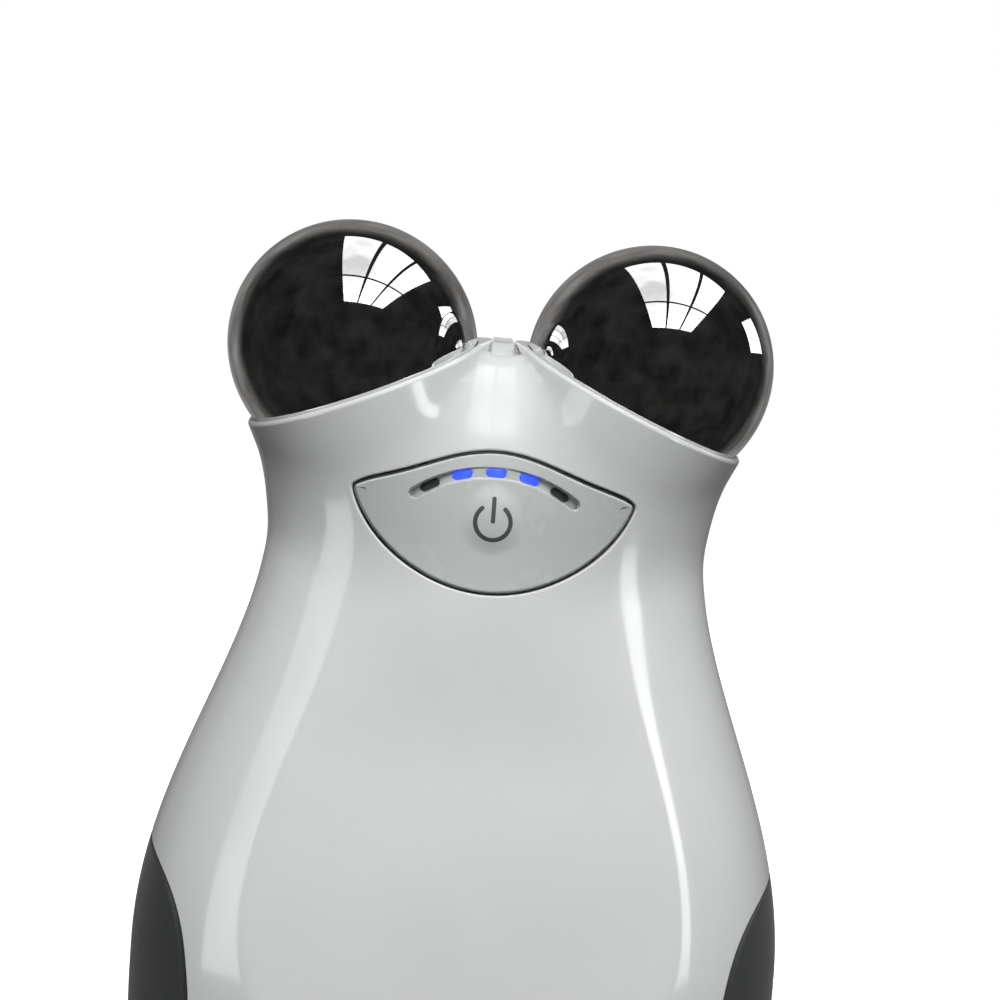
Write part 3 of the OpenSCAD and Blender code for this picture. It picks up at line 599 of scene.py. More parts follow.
        def inward(p: Array, n: Array, e: Array) -> list[Array]:
            flat = unit(n * [1, 0, 1])
            depth = (self.thickness(p, n) - self.seam_roll)[:, None]
            return [e - flat * depth]

        return Cut("seam", gap, self.seam_roll, inward)

    def close(self, cuts: list[Cut], name: str) -> bpy.types.Object:
        """Adds rounded edges, opening walls and the inner skin, and makes the piece.

        From each edge point a column of points turns from the surface's normal to the wall's
        and runs down the wall to the inner skin. Where two openings meet, the two columns
        are joined by a strip, so the shell stays closed.
        """
        p, faces = self.points, self.faces
        n = self.form.normal(p)
        inner = p - self.thickness(p, n)[:, None] * n
        points, normals = [p], [n]
        made = [faces]
        count = len(p)
        directed = np.concatenate([faces[:, [0, 1]], faces[:, [1, 2]], faces[:, [2, 0]]])
        code = directed[:, 0].astype(np.int64) * count + directed[:, 1]
        back = directed[:, 1].astype(np.int64) * count + directed[:, 0]
        rim = directed[~np.isin(code, back)]
        owner = np.full(len(rim), -1)
        for k, cut in enumerate(cuts):
            both = self.on[cut.name][rim[:, 0]] & self.on[cut.name][rim[:, 1]]
            owner[(owner < 0) & both] = k
        LOG.info("%s: %d rim edges, %d without an owner", name, len(rim), int((owner < 0).sum()))
        steps = self.arc + 3
        total = count
        column = np.full((len(cuts), count, steps), -1)
        ends = np.zeros_like(p)
        shares = np.zeros(count)
        for k, cut in enumerate(cuts):
            here = np.unique(rim[owner == k])
            if not len(here):
                continue
            q, m = p[here], n[here]
            w = cut.value(q, m)[1]
            ring, ring_n = rolled_edge(q, m, w, cut.roll, self.arc)
            stops = cut.inward(q, m, ring[-1])
            walls = [ring[-1] + (stops[0] - ring[-1]) * 0.02, stops[0]] if len(stops) == 1 else stops[:2]
            for i, (point, direction) in enumerate(zip([*ring, *walls], [*ring_n, w, w])):
                column[k, here, i] = total + np.arange(len(here))
                points.append(point)
                normals.append(np.broadcast_to(direction, point.shape))
                total += len(here)
            ends[here] += stops[-1]
            shares[here] += 1
        at_rim = shares > 0
        inner[at_rim] = ends[at_rim] / shares[at_rim][:, None]
        points.append(inner)
        normals.append(-n)
        base = total
        made.append(faces[:, [0, 2, 1]] + base)
        column[:, :, steps - 1] = base + np.arange(count)
        for k in range(len(cuts)):
            e = rim[owner == k]
            if not len(e):
                continue
            a = np.concatenate([e[:, :1], column[k, e[:, 0]]], 1)
            b = np.concatenate([e[:, 1:], column[k, e[:, 1]]], 1)
            made.append(np.stack([b[:, :-1], a[:, :-1], a[:, 1:]], -1).reshape(-1, 3))
            made.append(np.stack([b[:, :-1], a[:, 1:], b[:, 1:]], -1).reshape(-1, 3))
        comes = {int(v): int(k) for v, k in zip(rim[:, 1], owner)}
        for v, k in zip(rim[:, 0], owner):
            j = comes.get(int(v), int(k))
            if j != k and j >= 0 and k >= 0:
                a = np.concatenate([[v], column[j, v]])
                b = np.concatenate([[v], column[k, v]])
                made.append(with_area(cell_faces(a[:-1], a[1:], b[1:], b[:-1])))
        return put_mesh(name, np.concatenate(points), np.concatenate(made), np.concatenate(normals))


# ---- key ---------------------------------------------------------------------------------
@dataclass(frozen=True)
class KeyFace:
    """The almond key: its outline, the lit slot, the windows and the raised button."""

    form: HousingForm
    half_w: float = 13.2
    top_z: float = 93.9
    shoulder_z: float = 90.7
    chin_z: float = 88.9
    low_z: float = 80.7
    tip_power: float = 14.0
    gap: float = 0.3
    edge_roll: float = 0.22
    power_z: float = 87.4
    power_r: float = 2.9
    power_rise: float = 0.45
    arc_r: float = 12.95
    arc_step: float = 14.3
    windows: int = 5
    window_len: float = 2.0
    window_wid: float = 0.85
    slot_h: float = 1.15
    slot_deep: float = 0.14
    slot_bend_r: float = 70.0
    pit_deep: float = 0.25

    @property
    def arc_z(self) -> float:
        """Height of the centre of the arc of windows."""
        return self.top_z - 1.85 - self.arc_r

    def outline(self, count: int, grow: float = 0.0) -> Outline:
        """Outline of the key: a bell-shaped upper edge and a full lower curve, with round tips."""
        r = -np.cos(np.pi * np.arange(count + 1) / count)
        low = self.chin_z - (self.chin_z - self.low_z) * np.maximum(1 - r * r, 0) ** 0.8 - grow
        high = self.shoulder_z + (self.top_z - self.shoulder_z) * (1 + np.cos(np.pi * r)) / 2 + grow
        mid = (low + high) / 2
        half = (high - low) / 2 * np.sqrt(np.maximum(1 - np.abs(r) ** self.tip_power, 0))
        x = r * (self.half_w + grow)
        lower = np.stack([x, mid - half], -1)
        upper = np.stack([x, mid + half], -1)[-2:0:-1]
        return Outline(np.concatenate([lower, upper]))

    def slot_distance(self, x: Array, z: Array) -> Array:
        """Distance outside the bent slot: a band about an arc, with round ends."""
        half = np.radians(((self.windows - 1) * self.arc_step + 14) / 2)
        angle = np.clip(np.arctan2(x, z - self.arc_z), -half, half)
        cx, cz = self.arc_r * np.sin(angle), self.arc_z + self.arc_r * np.cos(angle)
        return np.hypot(x - cx, z - cz) - self.slot_h / 2

    def window_place(self, i: int) -> tuple[Array, Array, Array]:
        """Centre of a window in X and Z, and its unit vectors along and across."""
        a = np.radians((i - (self.windows - 1) / 2) * self.arc_step)
        centre = np.array([self.arc_r * np.sin(a), self.arc_z + self.arc_r * np.cos(a)])
        return centre, np.array([np.cos(a), -np.sin(a)]), np.array([np.sin(a), np.cos(a)])

    def window_distance(self, x: Array, z: Array, i: int) -> Array:
        """Distance outside a window: a short bar with round ends."""
        c, along, out = self.window_place(i)
        u = (x - c[0]) * along[0] + (z - c[1]) * along[1]
        v = (x - c[0]) * out[0] + (z - c[1]) * out[1]
        past = np.maximum(np.abs(u) - (self.window_len - self.window_wid) / 2, 0)
        return np.hypot(past, v) - self.window_wid / 2

    def slot_floor(self, x: Array) -> Array:
        """Y of the slot's floor, bent about an upright line behind the face."""
        middle = float(self.form.front_y(np.array([0.0]), np.array([self.arc_z + self.arc_r]))[0])
        r = self.slot_bend_r
        return middle + self.slot_deep + r - np.sqrt(r * r - x * x)

    def height(self, x: Array, z: Array) -> Array:
        """Y of the finished face: the housing's own surface, the button raised out of it as a
        cap of a sphere, and the slot and window pits sunk into it."""
        y = self.form.front_y(x, z)
        middle = float(self.form.front_y(np.array([0.0]), np.array([self.power_z]))[0])
        big = (self.power_r ** 2 + self.power_rise ** 2) / (2 * self.power_rise)
        reach = (x ** 2 + (z - self.power_z) ** 2)
        cap = middle - self.power_rise + big - np.sqrt(np.maximum(big * big - reach, 0))
        y = np.where(reach < (self.power_r * 1.6) ** 2, blend_min(y, cap, 0.16), y)
        sunk = 1 - ramp(self.slot_distance(x, z), -0.14, 0.02)
        y = y + sunk * (np.maximum(self.slot_floor(x), y) - y)
        for i in range(self.windows):
            y = y + self.pit_deep * (1 - ramp(self.window_distance(x, z, i), -0.05, 0.04))
        return y

    def normal(self, x: Array, z: Array, step: float = 0.015) -> Array:
        """Unit normal of the face from differences of its height."""
        dx = (self.height(x + step, z) - self.height(x - step, z)) / (2 * step)
        dz = (self.height(x, z + step) - self.height(x, z - step)) / (2 * step)
        return unit(np.stack([dx, -np.ones_like(dx), dz], -1))


# ---- finishes ----------------------------------------------------------------------------
class Shading:
    """A shader tree with short ways to add, fill and link its nodes."""

    def __init__(self, tree: bpy.types.ShaderNodeTree) -> None:
        """Takes the tree to work on."""
        self.tree = tree

    def put(self, value: object, socket: bpy.types.NodeSocket) -> None:
        """Links another socket to an input, or sets the input to a plain value."""
        if isinstance(value, bpy.types.NodeSocket):
            self.tree.links.new(value, socket)
        else:
            socket.default_value = value

    def fill(self, node: bpy.types.Node, values: dict[str, object]) -> bpy.types.Node:
        """Puts named values or sockets into a node's inputs."""
        for key, value in values.items():
            self.put(value, node.inputs[key])
        return node

    def add(self, kind: str, **values: object) -> bpy.types.Node:
        """Adds a node and fills its inputs; a blank in an input's name is written as _."""
        node = self.tree.nodes.new(f"ShaderNode{kind}")
        return self.fill(node, {key.replace("_", " "): value for key, value in values.items()})

    def math(self, operation: str, *values: object) -> bpy.types.NodeSocket:
        """Adds a Math node with its inputs in order."""
        node = self.add("Math")
        node.operation = operation
        for value, socket in zip(values, node.inputs):
            self.put(value, socket)
        return node.outputs[0]

    def span(self, value: bpy.types.NodeSocket, low: float, high: float, start: float = 0.0,
             stop: float = 1.0, kind: str = "SMOOTHSTEP") -> bpy.types.NodeSocket:
        """Carries a value from one range to another."""
        node = self.add("MapRange", Value=value, From_Min=low, From_Max=high, To_Min=start, To_Max=stop)
        node.interpolation_type = kind
        return node.outputs["Result"]

    def noise(self, place: bpy.types.NodeSocket, scale: object, detail: float) -> bpy.types.NodeSocket:
        """Adds a noise texture."""
        return self.add("TexNoise", Vector=place, Scale=scale, Detail=detail).outputs["Fac"]

    def mix(self, share: bpy.types.NodeSocket, first: tuple, second: tuple) -> bpy.types.NodeSocket:
        """Mixes two colours."""
        node = self.add("Mix")
        node.data_type = "RGBA"
        self.fill(node, {"Factor": share, "A": (*first, 1), "B": (*second, 1)})
        return node.outputs["Result"]


def new_material(name: str) -> tuple[bpy.types.Material, Shading, bpy.types.Node]:
    """Starts a material, and gives its tree and its Principled node with it."""
    material = bpy.data.materials.new(name)
    material.use_nodes = True
    return material, Shading(material.node_tree), material.node_tree.nodes["Principled BSDF"]


def surface_group() -> bpy.types.ShaderNodeTree:
    """Shared surface life: slow mottling, handling smudges, fine grain and stray hairline marks.

    Noise of three sizes reads Object coordinates in metres. Mottle and Smudge are masks from 0
    to 1, Grain is a height for a Bump node, and Hairline is 1 along thin, broken streaks.
    """
    tree = bpy.data.node_groups.new("surface_life", "ShaderNodeTree")
    tree.interface.new_socket("Vector", in_out="INPUT", socket_type="NodeSocketVector")
    for key, value in (("Mottle Size", 60.0), ("Smudge Size", 160.0), ("Grain Size", 4000.0),
                       ("Hairline Size", 300.0)):
        tree.interface.new_socket(key, in_out="INPUT", socket_type="NodeSocketFloat").default_value = value
    for key in ("Mottle", "Smudge", "Grain", "Hairline"):
        tree.interface.new_socket(key, in_out="OUTPUT", socket_type="NodeSocketFloat")
    shade = Shading(tree)
    start, end = tree.nodes.new("NodeGroupInput").outputs, tree.nodes.new("NodeGroupOutput")
    place = start["Vector"]
    stretch = shade.add("Mapping", Vector=place, Scale=(1.0, 1.0, 0.06), Rotation=(0.5, 0.9, 0.2))
    streak = shade.noise(stretch.outputs["Vector"], start["Hairline Size"], 4.0)
    shade.fill(end, {
        "Mottle": shade.span(shade.noise(place, start["Mottle Size"], 3.0), 0.35, 0.65),
        "Smudge": shade.span(shade.noise(place, start["Smudge Size"], 5.0), 0.42, 0.7),
        "Grain": shade.noise(place, start["Grain Size"], 2.0),
        "Hairline": shade.span(streak, 0.66, 0.72)})
    return tree


@dataclass(frozen=True)
class Finish:
    """A moulded, plated or painted finish with the shared surface life on it."""

    name: str
    colour: tuple[float, float, float]
    shade: tuple[float, float, float]
    roughness: float
    smudge: float = 0.05
    hairline: float = 0.0
    metallic: float = 0.0
    grain: float = 0.0
    ior: float = 1.5
    coat: float = 0.0
    coat_roughness: float = 0.03
    sheen: float = 0.0
    specular: float = 0.5
    transmission: float = 0.0
    glow: tuple[float, float, float] | None = None
    glow_strength: float = 0.0
    mottle_size: float = 60.0
    smudge_size: float = 160.0
    grain_size: float = 4000.0
    hairline_size: float = 300.0

    def build(self) -> bpy.types.Material:
        """Makes the material: mottled colour, smudged roughness, a grain bump, and for a lit
        window its glow, weaker in soft patches as behind a diffuser."""
        material, shade, shader = new_material(self.name)
        life = shade.tree.nodes.new("ShaderNodeGroup")
        life.node_tree = bpy.data.node_groups.get("surface_life") or surface_group()
        shade.fill(life, {
            "Vector": shade.add("TexCoord").outputs["Object"], "Mottle Size": self.mottle_size,
            "Smudge Size": self.smudge_size, "Grain Size": self.grain_size,
            "Hairline Size": self.hairline_size})
        mask = life.outputs
        worn = shade.math("MULTIPLY_ADD", mask["Smudge"], self.smudge, self.roughness)
        shade.fill(shader, {
            "Base Color": shade.mix(mask["Mottle"], self.colour, self.shade),
            "Roughness": shade.math("MULTIPLY_ADD", mask["Hairline"], self.hairline, worn),
            "Metallic": self.metallic, "IOR": self.ior, "Coat Weight": self.coat,
            "Coat Roughness": self.coat_roughness, "Sheen Weight": self.sheen,
            "Specular IOR Level": self.specular, "Transmission Weight": self.transmission})
        if self.grain > 0:
            bump = shade.add("Bump", Strength=1.0, Distance=self.grain * MM, Height=mask["Grain"])
            shade.put(bump.outputs["Normal"], shader.inputs["Normal"])
        if self.glow:
            dim = tuple(0.72 * c for c in self.glow)
            shade.fill(shader, {"Emission Color": shade.mix(mask["Mottle"], self.glow, dim),
                                "Emission Strength": self.glow_strength})
        return material


GLOSS_WHITE = Finish("gloss_white_housing", (0.80, 0.815, 0.81), (0.775, 0.79, 0.785), 0.11, 0.05, 0.04,
                     coat=0.3, coat_roughness=0.04)
KEY_WHITE = Finish("satin_white_key", (0.60, 0.625, 0.61), (0.58, 0.605, 0.59), 0.24, 0.06, 0.03,
                   grain=0.002, grain_size=9000.0)
BRIGHT_PLATE = Finish("bright_plating", (0.86, 0.86, 0.87), (0.83, 0.83, 0.845), 0.025, 0.02, 0.05,
                      metallic=1.0, mottle_size=90.0)
SOFT_GRIP = Finish("soft_grip_rubber", (0.046, 0.049, 0.048), (0.038, 0.041, 0.04), 0.55, 0.12, 0.03,
                   grain=0.03, grain_size=3200.0, sheen=0.15)
MARK_INK = Finish("dark_mark_ink", (0.075, 0.08, 0.082), (0.09, 0.095, 0.1), 0.42, 0.08)
LIT_WINDOW = Finish("lit_blue_window", (0.05, 0.10, 0.55), (0.04, 0.08, 0.5), 0.22, 0.05,
                    coat=0.5, glow=(0.035, 0.09, 1.0), glow_strength=1.15, mottle_size=900.0)
DARK_WINDOW = Finish("unlit_window", (0.055, 0.06, 0.058), (0.09, 0.095, 0.09), 0.25, 0.06,
                     coat=0.4, mottle_size=900.0)
LENS_BAR = Finish("frosted_lens", (0.55, 0.6, 0.7), (0.5, 0.55, 0.66), 0.35, 0.08, transmission=0.4)
NODE_FINISHES: dict[str, Finish] = {
    "ball_seals": Finish("seal_rubber", (0.03, 0.03, 0.031), (0.045, 0.045, 0.046), 0.6, 0.1,
                         grain=0.02, grain_size=3000.0),
    "electrode_frame": Finish("natural_nylon", (0.62, 0.60, 0.54), (0.58, 0.56, 0.5), 0.42, 0.08,
                              grain=0.01, grain_size=2500.0),
    "contact_tabs": Finish("contact_brass", (0.72, 0.55, 0.25), (0.66, 0.47, 0.2), 0.25, 0.15, 0.1,
                           metallic=1.0),
    "ball_screws": Finish("zinc_steel", (0.56, 0.57, 0.58), (0.48, 0.5, 0.52), 0.28, 0.14, 0.12,
                          metallic=1.0, grain=0.004),
    "switch_plunger": Finish("black_acetal", (0.02, 0.02, 0.021), (0.03, 0.03, 0.031), 0.35, 0.1),
    "power_switch": Finish("stamped_steel", (0.6, 0.6, 0.61), (0.5, 0.5, 0.51), 0.33, 0.12, 0.12,
                           metallic=1.0),
    "circuit_board": Finish("solder_mask", (0.012, 0.10, 0.045), (0.02, 0.15, 0.07), 0.3, 0.1,
                            grain=0.01, grain_size=1500.0, mottle_size=700.0),
    "indicator_leds": Finish("clear_lamp_body", (0.85, 0.87, 0.9), (0.8, 0.82, 0.86), 0.15, 0.1,
                             transmission=0.5),
    "board_chips": Finish("moulded_epoxy", (0.018, 0.018, 0.019), (0.03, 0.03, 0.03), 0.5, 0.1,
                          grain=0.01, grain_size=3500.0),
    "battery": Finish("shrink_film", (0.05, 0.12, 0.34), (0.04, 0.1, 0.29), 0.22, 0.14, 0.05,
                      grain=0.03, grain_size=300.0),
    "battery_tray": Finish("grey_tray", (0.5, 0.5, 0.48), (0.46, 0.46, 0.44), 0.45, 0.08,
                           grain=0.012, grain_size=2500.0),
    "dc_jack": Finish("black_nylon", (0.022, 0.022, 0.023), (0.034, 0.034, 0.035), 0.38, 0.1,
                      grain=0.006, grain_size=2500.0),
    "battery_pad": Finish("black_foam", (0.025, 0.025, 0.026), (0.05, 0.05, 0.05), 0.85, 0.1,
                          grain=0.1, grain_size=1600.0),
}
SAME_FINISH = {"frame_screw": "ball_screws", "board_screws": "ball_screws", "tray_screws": "ball_screws",
               "housing_screws": "ball_screws", "jack_contact": "contact_tabs"}


def dress(piece: bpy.types.Object, material: bpy.types.Material) -> None:
    """Gives a piece one material on all its slots."""
    if not piece.data.materials:
        piece.data.materials.append(material)
    for slot in piece.material_slots:
        slot.material = material


def seat(piece: bpy.types.Object, body: str, slot: str, *replaced: str) -> None:
    """Ties a piece to its body, hides the nodes it stands for, and logs them."""
    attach(piece, body)
    if replaced:
        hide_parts(*replaced)
    LOG.info("piece %s: %d faces, rides on %s, stands for %s", piece.name,
             len(piece.data.polygons), body, ", ".join(replaced) or "nothing")


# ---- sub-assemblies ----------------------------------------------------------------------
@dataclass(frozen=True)
class GripPad:
    """One inlaid side grip: a leaf of the housing's own surface."""

    form: HousingForm
    side: Side
    centre_z: float = 29.5
    half_h: float = 22.8
    half_d: float = 15.7
    wrap: float = 0.8
    power: float = 4.5
    thick: float = 1.0
    fit: float = 0.12
    edge_roll: float = 0.3

    def leaf(self, count: int, grow: float = 0.0) -> Outline:
        """Outline in Y and Z: a superellipse that reaches a little further round the back."""
        a = 2 * np.pi * np.arange(count) / count
        s = 1 / (np.abs(np.cos(a)) ** self.power + np.abs(np.sin(a)) ** self.power) ** (1 / self.power)
        reach = self.half_d + np.where(np.cos(a) > 0, self.wrap, 0) + grow
        z = self.centre_z + s * np.sin(a) * (self.half_h + grow)
        return Outline(np.stack([s * np.cos(a) * reach, z], -1))

    def on_surface(self, yz: Array) -> Array:
        """Points of the housing's side over points of the Y-Z plane."""
        start = np.stack([np.zeros(yz.shape[:-1]), yz[..., 0], yz[..., 1]], -1)
        return self.form.crossing(start, np.array([float(self.side.value), 0.0, 0.0]), 45.0)

    def rings(self, top: float, under: float, grow: float, roll: float, spokes: int = 300,
              steps: int = 46) -> tuple[Array, Array]:
        """Rings of a leaf-shaped sheet between two depths, with a rounded upper edge.

        The face runs from its centre to the rim, the rim turns on a small circle to the
        outline's own direction, and the sheet closes over its underside.
        """
        edge = self.leaf(spokes, grow)
        w2 = edge.outward
        w = np.concatenate([np.zeros((spokes, 1)), w2], -1)
        n = self.form.normal(self.on_surface(edge.points))
        rim = edge.points - roll * (w2 - n[:, 1:])
        share = np.linspace(0, 1, steps)[:, None, None]
        centre = np.array([0.0, self.centre_z])
        face = self.on_surface(centre + share * (rim - centre))
        face_n = self.form.normal(face)
        face = face - top * face_n
        m = face_n[-1]
        arc, arc_n = rolled_edge(face[-1], m, w, roll)
        low = np.stack([arc[-1] - m * (under - top - roll)])
        back = self.on_surface(centre + share[::-6] * (edge.points - centre))
        back_n = self.form.normal(back)
        back = back - under * back_n
        points = np.concatenate([face, arc, low, back])
        return points, np.concatenate([face_n, arc_n, np.stack([w]), -back_n])

    def build(self, rubber: bpy.types.Material, white: bpy.types.Material) -> None:
        """Makes the grip and the thin floor of the pocket that it lies in."""
        name = self.side.name.lower()
        pad = ring_piece(f"grip_pad_{name}", *self.rings(0.0, self.thick, 0.0, self.edge_roll))
        dress(pad, rubber)
        seat(pad, "housing", "grip_rubber", f"grip_{name}")
        sheet = self.rings(self.thick + self.fit, self.form.wall, -0.1, 0.1, 160, 20)
        floor = ring_piece(f"grip_pocket_{name}", *sheet)
        dress(floor, white)
        seat(floor, "housing", "white_shell")


@dataclass(frozen=True)
class Ball:
    """One plated ball on its stem, turned on its leaning axis."""

    place: BallSeat
    radius: float = 12.7
    base: float = 9.5
    stem_r: float = 3.0
    stem_end: float = 11.88
    base_round: float = 0.5

    def build(self, plate: bpy.types.Material) -> None:
        """Turns the ball's profile: a sphere, a flat base with a rounded rim, and a stem."""
        low = np.arcsin(-self.base / self.radius)
        a = np.linspace(np.pi / 2, low + 0.05, 150)
        ball = np.stack([self.radius * np.cos(a), self.radius * np.sin(a)], -1)
        flat = np.sqrt(self.radius ** 2 - self.base ** 2) - self.base_round
        foot = np.array([[flat, -self.base], [self.stem_r + 0.1, -self.base], [self.stem_r, -self.base - 0.1],
                         [self.stem_r, -self.stem_end + 0.2], [self.stem_r - 0.2, -self.stem_end],
                         [0.0, -self.stem_end]])
        profile = np.concatenate([ball, foot])
        profile[0, 0] = 0.0
        rings = revolve(profile, self.place.centre, self.place.axis, 240)
        name = self.place.side.name.lower()
        piece = ring_piece(f"ball_polished_{name}", rings)
        dress(piece, plate)
        seat(piece, "housing", "bright_plating", f"ball_{name}")


@dataclass(frozen=True)
class Key:
    """The moving key: plate, windows and mark."""

    face: KeyFace
    skin: float = 1.4
    shoulder_deep: float = 0.9
    shoulder_out: float = 0.2
    back_y: float = -10.2
    rim_t: float = 0.7
    spokes: int = 520
    steps: int = 70

    def plate_rings(self) -> tuple[Array, Array]:
        """Rings of the key plate from the middle line of its face, over the rounded edge, down
        the side to the rim, and back up under the face."""
        f = self.face
        edge = f.outline(self.spokes // 2)
        e, w2 = edge.points, edge.outward
        w = np.stack([w2[:, 0], np.zeros(len(e)), w2[:, 1]], -1)
        flat = np.stack([e[:, 0], f.form.front_y(e[:, 0], e[:, 1]), e[:, 1]], -1)
        n = f.form.normal(flat)
        rim = e - f.edge_roll * (w2 - n[:, ::2])
        mirror = (len(e) - np.arange(len(e))) % len(e)
        line = np.stack([e[:, 0] * 0.93, (e[:, 1] + e[mirror, 1]) / 2], -1)
        share = np.linspace(0, 1, self.steps)[:, None, None]
        q = line + share * (rim - line)
        x, z = q[..., 0], q[..., 1]
        face = np.stack([x, f.height(x, z), z], -1)
        face_n = f.normal(x, z)
        arc, arc_n = rolled_edge(face[-1], face_n[-1], w, f.edge_roll)
        side_y = np.array([0.0, 1.0, 0.0])
        ledge = arc[-1] + side_y * (self.shoulder_deep - f.edge_roll)
        out = ledge + w * self.shoulder_out
        foot = out * [1, 0, 1] + side_y * self.back_y
        inner = np.stack([e[:, 0], 0 * e[:, 0] + self.back_y, e[:, 1]], -1) - w * self.rim_t
        roof = np.stack([inner[:, 0], f.form.front_y(inner[:, 0], inner[:, 2]) + self.skin, inner[:, 2]], -1)
        roof[:, 1] = np.minimum(roof[:, 1], self.back_y - 0.05)
        under = line + np.linspace(1, 0, 14)[1:, None, None] * (inner[:, ::2] - line)
        under_y = np.minimum(f.form.front_y(under[..., 0], under[..., 1]) + self.skin, self.back_y - 0.05)
        ceiling = np.stack([under[..., 0], under_y, under[..., 1]], -1)
        down = np.broadcast_to(side_y, ceiling.shape)
        steps = [ledge, ledge + w * 0.01, out, out + side_y * 0.01, foot, inner, roof]
        rings = np.concatenate([face, arc, steps, ceiling])
        back = np.broadcast_to(-side_y, w.shape)
        steps_n = [w, back, back, w, np.broadcast_to(side_y, w.shape), -w, -w]
        normals = np.concatenate([face_n, arc_n, steps_n, down])
        return rings, normals

    def window(self, i: int, lit: bool, material: bpy.types.Material) -> None:
        """One window: a bar with round ends, its face slightly crowned, sunk in its pit."""
        f = self.face
        c, along, out = f.window_place(i)
        t = np.linspace(0, 2 * np.pi, 64, endpoint=False)
        half = (f.window_len - f.window_wid) / 2
        r = f.window_wid / 2 - 0.03
        u = np.sign(np.cos(t)) * half + r * np.cos(t)
        v = r * np.sin(t)
        floor = f.slot_floor(np.array([c[0]]))[0]
        share = np.array([0.0, 0.25, 0.5, 0.7, 0.85, 0.95, 1.0])
        crown = 0.05 * (1 - share ** 4)
        top = [(s, floor + 0.07 - k) for s, k in zip(share, crown)]
        stack = [*top, (1.0, floor + 0.45), (0.0, floor + 0.45)]
        rings = np.stack([
            np.stack([c[0] + s * (u * along[0] + v * out[0]), np.full(len(t), y),
                      c[1] + s * (u * along[1] + v * out[1])], -1) for s, y in stack])
        piece = ring_piece(f"window_{'lit' if lit else 'dark'}_{i + 1}", rings)
        dress(piece, material)
        seat(piece, "key", "clear_lens", "led_lens")

    def stroke(self, path: Array, half_w: Array, lift: float = 0.02, deep: float = 0.03) -> Array:
        """Rings of a thin printed stroke: four-sided loops carried along a path on the face."""
        along = unit(np.gradient(path, axis=0))
        side = np.stack([along[:, 1], -along[:, 0]], -1)
        t = np.linspace(-1, 1, 9)
        q = path[:, None] + (half_w[:, None] * t)[..., None] * side[:, None]
        y = self.face.height(q[..., 0], q[..., 1])
        top = np.stack([q[..., 0], y - lift, q[..., 1]], -1)
        low = np.stack([q[..., 0], y + deep, q[..., 1]], -1)[:, ::-1]
        return np.concatenate([top, low], 1)

    def mark(self, ink: bpy.types.Material, ring_r: float = 1.68, half_w: float = 0.205,
             gap_deg: float = 33.0, bar_top: float = 2.45, bar_low: float = -0.12) -> None:
        """The plain on-off mark: an open ring and an upright bar, as thin raised ink."""
        z0 = self.face.power_z

        def taper(length: Array, total: float) -> Array:
            near = np.minimum(length, total - length)
            return half_w * np.sqrt(np.clip(1 - np.clip(1 - near / half_w, 0, 1) ** 2, 0.0004, 1))

        a = np.radians(np.linspace(gap_deg, 360 - gap_deg, 160))
        path = np.stack([ring_r * np.sin(a), z0 + ring_r * np.cos(a)], -1)
        ring = self.stroke(path, taper((a - a[0]) * ring_r, (a[-1] - a[0]) * ring_r))
        s = np.linspace(0, 1, 60)
        total = bar_top - bar_low
        line = np.stack([0 * s, z0 + bar_low + s * total], -1)
        bar = self.stroke(line, taper(s * total, total))
        for name, rings in (("power_mark_ring", ring), ("power_mark_bar", bar)):
            piece = ring_piece(name, rings)
            dress(piece, ink)
            seat(piece, "key", "switch_black")

    def lens_bar(self, material: bpy.types.Material) -> None:
        """The light bar behind the slot: a bent bar with round ends."""
        f = self.face
        half = np.radians(((f.windows - 1) * f.arc_step + 14) / 2)
        a = np.linspace(-half, half, 40)
        cap = np.linspace(0, np.pi, 12)[1:-1]
        h = 0.9
        upper = np.stack([(f.arc_r + h) * np.sin(a), (f.arc_r + h) * np.cos(a)], -1)
        lower = np.stack([(f.arc_r - h) * np.sin(a[::-1]), (f.arc_r - h) * np.cos(a[::-1])], -1)

        def end(angle: float, sign: float) -> Array:
            c = f.arc_r * np.array([np.sin(angle), np.cos(angle)])
            out = np.array([np.sin(angle), np.cos(angle)])
            along = np.array([np.cos(angle), -np.sin(angle)]) * sign
            turn = cap if sign > 0 else cap[::-1]
            return c + h * (np.cos(turn)[:, None] * out + np.sin(turn)[:, None] * along)

        loop = np.concatenate([upper, end(half, 1), lower, end(-half, -1)]) + [0, f.arc_z]
        y0 = float(f.form.front_y(np.array([0.0]), np.array([f.power_z]))[0]) + self.skin + 0.02
        middle = np.array([0.0, f.arc_z + f.arc_r])
        stack = [(0.0, y0), (1.0, y0), (1.0, y0 + 1.28), (0.0, y0 + 1.28)]
        rings = np.stack([np.insert(middle + s * (loop - middle), 1, y, axis=1) for s, y in stack])
        piece = ring_piece("lens_bar", rings)
        dress(piece, material)
        seat(piece, "key", "clear_lens", "led_lens")

    def build(self, white: bpy.types.Material, lit: bpy.types.Material, dark: bpy.types.Material,
              ink: bpy.types.Material, lens: bpy.types.Material) -> None:
        """Makes the plate, the windows, the mark and the light bar."""
        plate = ring_piece("key_plate", *self.plate_rings(), start=End.ZIP, end=End.ZIP)
        dress(plate, white)
        seat(plate, "key", "white_key", "key_panel")
        for i in range(self.face.windows):
            on = 0 < i < self.face.windows - 1
            self.window(i, on, lit if on else dark)
        self.mark(ink)
        self.lens_bar(lens)


